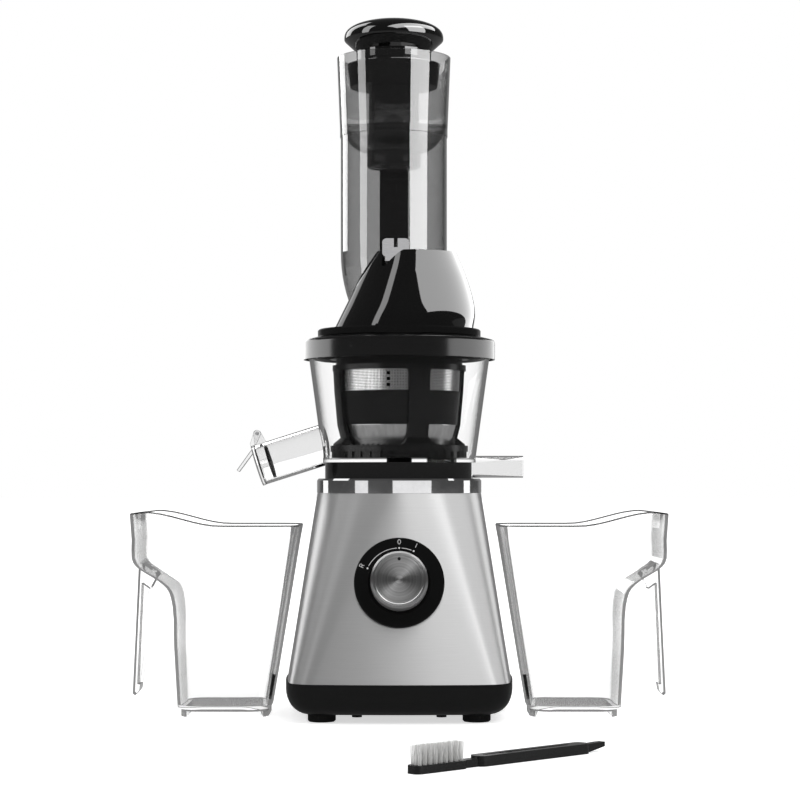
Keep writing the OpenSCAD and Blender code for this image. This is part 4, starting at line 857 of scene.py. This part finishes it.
def filament(k):
    """Rings of filament k of a tuft, from its root to its rounded tip."""
    r, a = TUFT_R * math.sqrt((k + 0.5) / FILAMENTS), k * FILAMENT_TURN
    fan = random.uniform(*FAN_OUT)
    dx, dy = r * math.cos(a), r * math.sin(a)
    lean_x, lean_y = random.uniform(-LEAN, LEAN), random.uniform(-LEAN, LEAN)
    top = TUFT_TOP_Z - random.uniform(0, UNEVEN_TOP)
    rings = []
    # height, share of the fanning out, radius
    for z, share, thick in ((TUFT_ROOT_Z, 0.0, 0.11), (TUFT_ROOT_Z + 6, 0.35, 0.1), (top - 0.2, 1.0, 0.09),
                            (top, 1.02, 0.04)):
        at = (dx * (1 + fan * share) + lean_x * share, dy * (1 + fan * share) + lean_y * share)
        rings.append(circle(thick, z, at, FILAMENT_SIDES))
    return rings


def make_bristles():
    """Tufts of single filaments that fan out a little and end at slightly different heights."""
    random.seed(7)
    c, s = way(BRUSH_TURN)
    points, faces = [], []
    for i in range(TUFTS_ALONG):
        along = TUFT_START + i * BRUSH_HEAD_L / (TUFTS_ALONG - 1)
        for across in TUFTS_ACROSS:
            for k in range(FILAMENTS):
                more, more_faces = loft(filament(k))
                first = len(points)
                points += [(BRUSH_AT[0] + c * (along + x) - s * (across + y),
                            BRUSH_AT[1] + s * (along + x) + c * (across + y), z) for x, y, z in more]
                faces += [tuple(first + v for v in face) for face in more_faces]
    add_piece("bristle_tufts", mesh_of(points, faces), "brush_bristles", 60)


# ================= dial marks =================

MARK_R = 24.5 * MM
LETTER_R = 28.9 * MM
LETTER_H = 3.1 * MM
R_AT, I_AT = -65.6, 24.6
PLATE_LIFT = 2.2 * MM
POINTER_LIFT = 21.8 * MM
POINTER_R = 14.5 * MM
ARC_W, DOT_W, LETTER_W, POINTER_W = 0.45 * MM, 0.75 * MM, 0.4 * MM, 1.3 * MM
ARC_GAP = 4.0           # degrees left free beside each dot
DOT_R, POINTER_DOT_R = 0.35 * MM, 0.6 * MM
ARC_STEPS, DOT_STEPS = 24, 16


def on_dial(x, y, lift=0.0):
    """A point on the dial plate: x to the right and y up along its sloped face, both in metres."""
    return DIAL_AT + Vector((x, 0, 0)) + DIAL_UP * y + DIAL_OUT * lift


def stroke(name, lines, width, lift, body, material):
    data = bpy.data.curves.new(name, "CURVE")
    data.dimensions = "3D"
    data.bevel_depth = width / 2
    data.bevel_resolution = 2
    for line in lines:
        spline = data.splines.new("POLY")
        spline.points.add(len(line) - 1)
        for point, (x, y) in zip(spline.points, line):
            point.co = (*on_dial(x, y, lift), 1)
    obj = add_object(name, data)
    data.materials.append(material)
    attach(obj, body)


def polar(radius, degrees):
    """Clockwise from the top of the dial."""
    a = math.radians(degrees)
    return radius * math.sin(a), radius * math.cos(a)


def ring_line(centre, radius):
    turns = [2 * math.pi * k / DOT_STEPS for k in range(DOT_STEPS + 1)]
    return [(centre[0] + radius * math.cos(t), centre[1] + radius * math.sin(t)) for t in turns]


def letter(shape, degrees):
    """Turns a letter drawn in a 1 by 1 box so that it stands on the mark circle."""
    cx, cy = polar(LETTER_R, degrees)
    c, s = way(-degrees, LETTER_H)
    return [[(cx + x * c - y * s, cy + x * s + y * c) for x, y in line] for line in shape]


def dial_marks():
    white = Shader("mark_white", Base_Color=(0.85, 0.85, 0.85), Roughness=0.4).material
    dark = Shader("pointer_black", Base_Color=(0.01, 0.01, 0.01), Roughness=0.4).material
    arcs = [[polar(MARK_R, a + (b - a) * i / ARC_STEPS) for i in range(ARC_STEPS + 1)]
            for a, b in ((R_AT + ARC_GAP, -ARC_GAP), (ARC_GAP, I_AT - ARC_GAP))]
    dots = [ring_line(polar(MARK_R, a), DOT_R) for a in (R_AT, 0, I_AT)]
    oval = [(0.32 * math.sin(t), 0.5 * math.cos(t)) for t in [k * math.pi / 12 for k in range(25)]]
    bow = [(0.08 + 0.24 * math.cos(t), 0.25 + 0.25 * math.sin(t))
           for t in [math.pi / 2 - k * math.pi / 8 for k in range(9)]]
    letter_r = [[(-0.3, -0.5), (-0.3, 0.5)], [(-0.3, 0.5), (0.08, 0.5), *bow, (-0.3, 0)],
                [(0.05, 0), (0.32, -0.5)]]
    letters = letter([oval], 0) + letter([[(0, -0.5), (0, 0.5)]], I_AT) + letter(letter_r, R_AT)
    for name, lines, width in (("dial_arcs", arcs, ARC_W), ("dial_dots", dots, DOT_W),
                               ("dial_letters", letters, LETTER_W)):
        stroke(name, lines, width, PLATE_LIFT, "motor_base", white)
    pointer = [ring_line((0, POINTER_R), POINTER_DOT_R)]
    stroke("knob_pointer", pointer, POINTER_W, POINTER_LIFT, "dial_knob", dark)


# ================= studio =================

AIM = Vector((0, 0, 0.26))
STAND_OFF = 1.6         # of every lamp from there
# pieces that mirror the studio, each group with cards of its own
GROUPS = {
    "polished": ("chute", "hopper_cup", "pusher_plunger", "juice_spout", "spout_cap", "pulp_outlet",
                 "pusher_knob", "bowl", "juice_beaker", "pulp_beaker", "brush_handle"),
    "dome": ("dome_skin", "dome_tab"),
    "chrome": ("collar", "cap_pin", "latch_button"),
    "knob": ("knob_cap",),
    "steel": ("body_skin",),
    "strainer": ("strainer", "wiper_frame"),
    "lid": ("lid",),
}
# see-through pieces, left out of reflections
CLEAR = ("bowl", "juice_spout", "spout_cap", "pulp_outlet", "juice_beaker", "pulp_beaker")
# name, azimuth from the camera's side towards +X, elevation, width and height in degrees, radiance,
# group, and where it isn't upright its roll
LAMPS = (
    ("key", 42, 46, 44, 40, 1.9, None),
    ("fill", -62, 28, 40, 44, 1.2, None),
    ("back", 165, 50, 60, 30, 1.2, None),
    ("strip_right", 56, 24, 42, 62, 7.0, "polished"),
    ("strip_left", -69, 24, 18, 62, 4.0, "polished"),
    ("over_right", 62, 60, 96, 36, 6.0, "polished"),
    ("rim_left", -132, 34, 26, 52, 3.5, "polished"),
    ("chrome_front", 18, 26, 60, 70, 0.85, "chrome"),
    ("chrome_left", -53, 6, 20, 40, 0.8, "chrome"),
    ("chrome_right", 108, 20, 16, 60, 1.2, "chrome"),
    ("chrome_back", -124, 20, 16, 60, 1.2, "chrome"),
    ("dome_right", 104, 42, 120, 72, 4.6, "dome", -24),
    ("dome_left", -54, 44, 10, 60, 3.0, "dome"),
    ("dome_rim", -146, 24, 20, 50, 1.0, "dome"),
    ("knob_right", 46, 44, 24, 20, 4.0, "knob"),
    ("knob_top", -10, 68, 120, 50, 2.3, "knob"),
    ("mesh_left", -66, 6, 64, 60, 1.5, "strainer"),
    ("mesh_right", 106, 6, 16, 60, 1.7, "strainer"),
    ("lid_left", -130, 6, 84, 30, 2.4, "lid"),
    ("lid_right", 112, 6, 104, 30, 2.0, "lid"),
    ("steel_front", 31, 26, 60, 70, 1.32, "steel"),
    ("steel_left", -52, 46, 92, 44, 0.8, "steel"),
    ("steel_left_low", -60, 0, 14, 26, 0.5, "steel"),
    ("steel_right", 84, 28, 54, 64, 1.0, "steel"),
    ("steel_back_left", -127, 24, 22, 70, 1.6, "steel"),
    ("steel_back_right", 131, 24, 22, 70, 1.4, "steel"),
)


def lamp(receivers, name, azimuth, elevation, wide, tall, radiance, roll=0):
    a, e = math.radians(azimuth), math.radians(elevation)
    away = Vector((math.sin(a) * math.cos(e), -math.cos(a) * math.cos(e), math.sin(e)))
    width, height = (2 * STAND_OFF * math.tan(math.radians(v) / 2) for v in (wide, tall))
    data = bpy.data.lights.new(name, "AREA")
    data.shape = "RECTANGLE"
    data.size, data.size_y = width, height
    data.energy = radiance * math.pi * width * height
    obj = add_object(name, data)
    obj.location = AIM + away * STAND_OFF
    upright = away.to_track_quat("Z", "Y")
    obj.rotation_euler = (upright @ Quaternion((0, 0, 1), math.radians(roll))).to_euler()
    obj.visible_camera = False
    obj.visible_transmission = False
    if receivers:
        obj.visible_diffuse = False
        obj.light_linking.receiver_collection = receivers
    else:
        obj.visible_glossy = False


def make_lamps():
    """Soft lamps for matt skins, and cards that only the shiny pieces of their group mirror."""
    for name in CLEAR:
        bpy.data.objects[name].visible_glossy = False
    groups = {None: None}
    for name, members in GROUPS.items():
        groups[name] = bpy.data.collections.new(name)
        for member in members:
            groups[name].objects.link(bpy.data.objects[member])
    for name, azimuth, elevation, wide, tall, radiance, group, *roll in LAMPS:
        lamp(groups[group], name, azimuth, elevation, wide, tall, radiance, *roll)


# what clear plastic shows by azimuth: the white backdrop behind, dark studio walls beside it
BACKDROP_SIDE = ((30, 0.25), (60, 0.1), (106, 0.1), (120, 0.25), (135, 0.7), (150, 1.0), (180, 1.0))
BACKDROP = [(-degrees, level) for degrees, level in reversed(BACKDROP_SIDE)] + list(BACKDROP_SIDE)
DIFFUSE_LEVEL = 0.5
GLOSS_LEVEL = 0.07
GLOSS_BEHIND = 0.25
BEHIND = (0.75, 0.95)   # how far a direction points backwards where the studio turns lighter


def make_world():
    """White to the eye and behind clear plastic; a dark studio in polished surfaces."""
    world = bpy.data.worlds.new("studio")
    bpy.context.scene.world = world
    world.use_nodes = True
    t = Tree(world.node_tree)
    out = t.add("ShaderNodeOutputWorld")
    light = t.add("ShaderNodeBackground")
    t.link(light.outputs[0], out.inputs["Surface"])
    path = t.add("ShaderNodeLightPath")
    parts = t.add("ShaderNodeSeparateXYZ")
    t.link(t.add("ShaderNodeTexCoord").outputs["Generated"], parts.inputs[0])
    x, y, _ = parts.outputs
    turn = t.math("ARCTAN2", x, t.math("MULTIPLY", y, -1.0))
    share = t.math("ADD", t.math("DIVIDE", turn, 2 * math.pi), 0.5)
    backdrop = t.ramp(share, [(0.5 + degrees / 360, level) for degrees, level in BACKDROP])
    studio = t.mix(t.step(y, *BEHIND), GLOSS_LEVEL, GLOSS_BEHIND)
    seen = t.mix(path.outputs["Is Transmission Ray"], DIFFUSE_LEVEL, backdrop)
    seen = t.mix(t.mirrored(path), seen, studio)
    seen = t.mix(path.outputs["Is Camera Ray"], seen, 1.0)
    t.link(seen, light.inputs["Color"])


FLOOR_SIZE = 30.0
FLOOR_GLOW = 0.62
FLOOR_IN_GLOSS = 0.2
FLOOR_WHITE, FLOOR_MIRRORED = 0.8, 0.15
FLOOR_FADE = (0.42, 0.8)    # metres from the middle where the floor goes from shadow to plain white


def make_floor():
    """Pale floor that keeps the soft shadow near the object and is plain white further away."""
    bpy.ops.mesh.primitive_plane_add(size=FLOOR_SIZE, location=(0, 0, 0))
    floor = bpy.context.object
    floor.name = "floor"
    s = Shader("floor_pale", Roughness=0.6, Specular_IOR_Level=0.0)
    path = s.add("ShaderNodeLightPath")
    length = s.add("ShaderNodeVectorMath", operation="LENGTH")
    s.link(s.coordinates(), length.inputs[0])
    glow = s.span(s.step(length.outputs["Value"], *FLOOR_FADE), FLOOR_GLOW, 1.0)
    seen = s.math("MAXIMUM", path.outputs["Is Camera Ray"], path.outputs["Is Transmission Ray"])
    mirrored = s.mirrored(path)
    s.surface.inputs["Emission Color"].default_value = (1, 1, 1, 1)
    s.paint("Emission Strength", s.mix(mirrored, s.math("MULTIPLY", seen, glow), FLOOR_IN_GLOSS))
    s.paint("Base Color", s.mix(mirrored, FLOOR_WHITE, FLOOR_MIRRORED))
    floor.data.materials.append(s.material)


# ================= scene =================

make_camera()
materials = make_materials()
dress()
make_shell()
make_base()
make_dome()
make_flange()
make_tab()
make_grip()
make_jugs()
make_bristles()
dial_marks()
make_lamps()
make_world()
make_floor()
bpy.context.scene.view_settings.view_transform = "Standard"
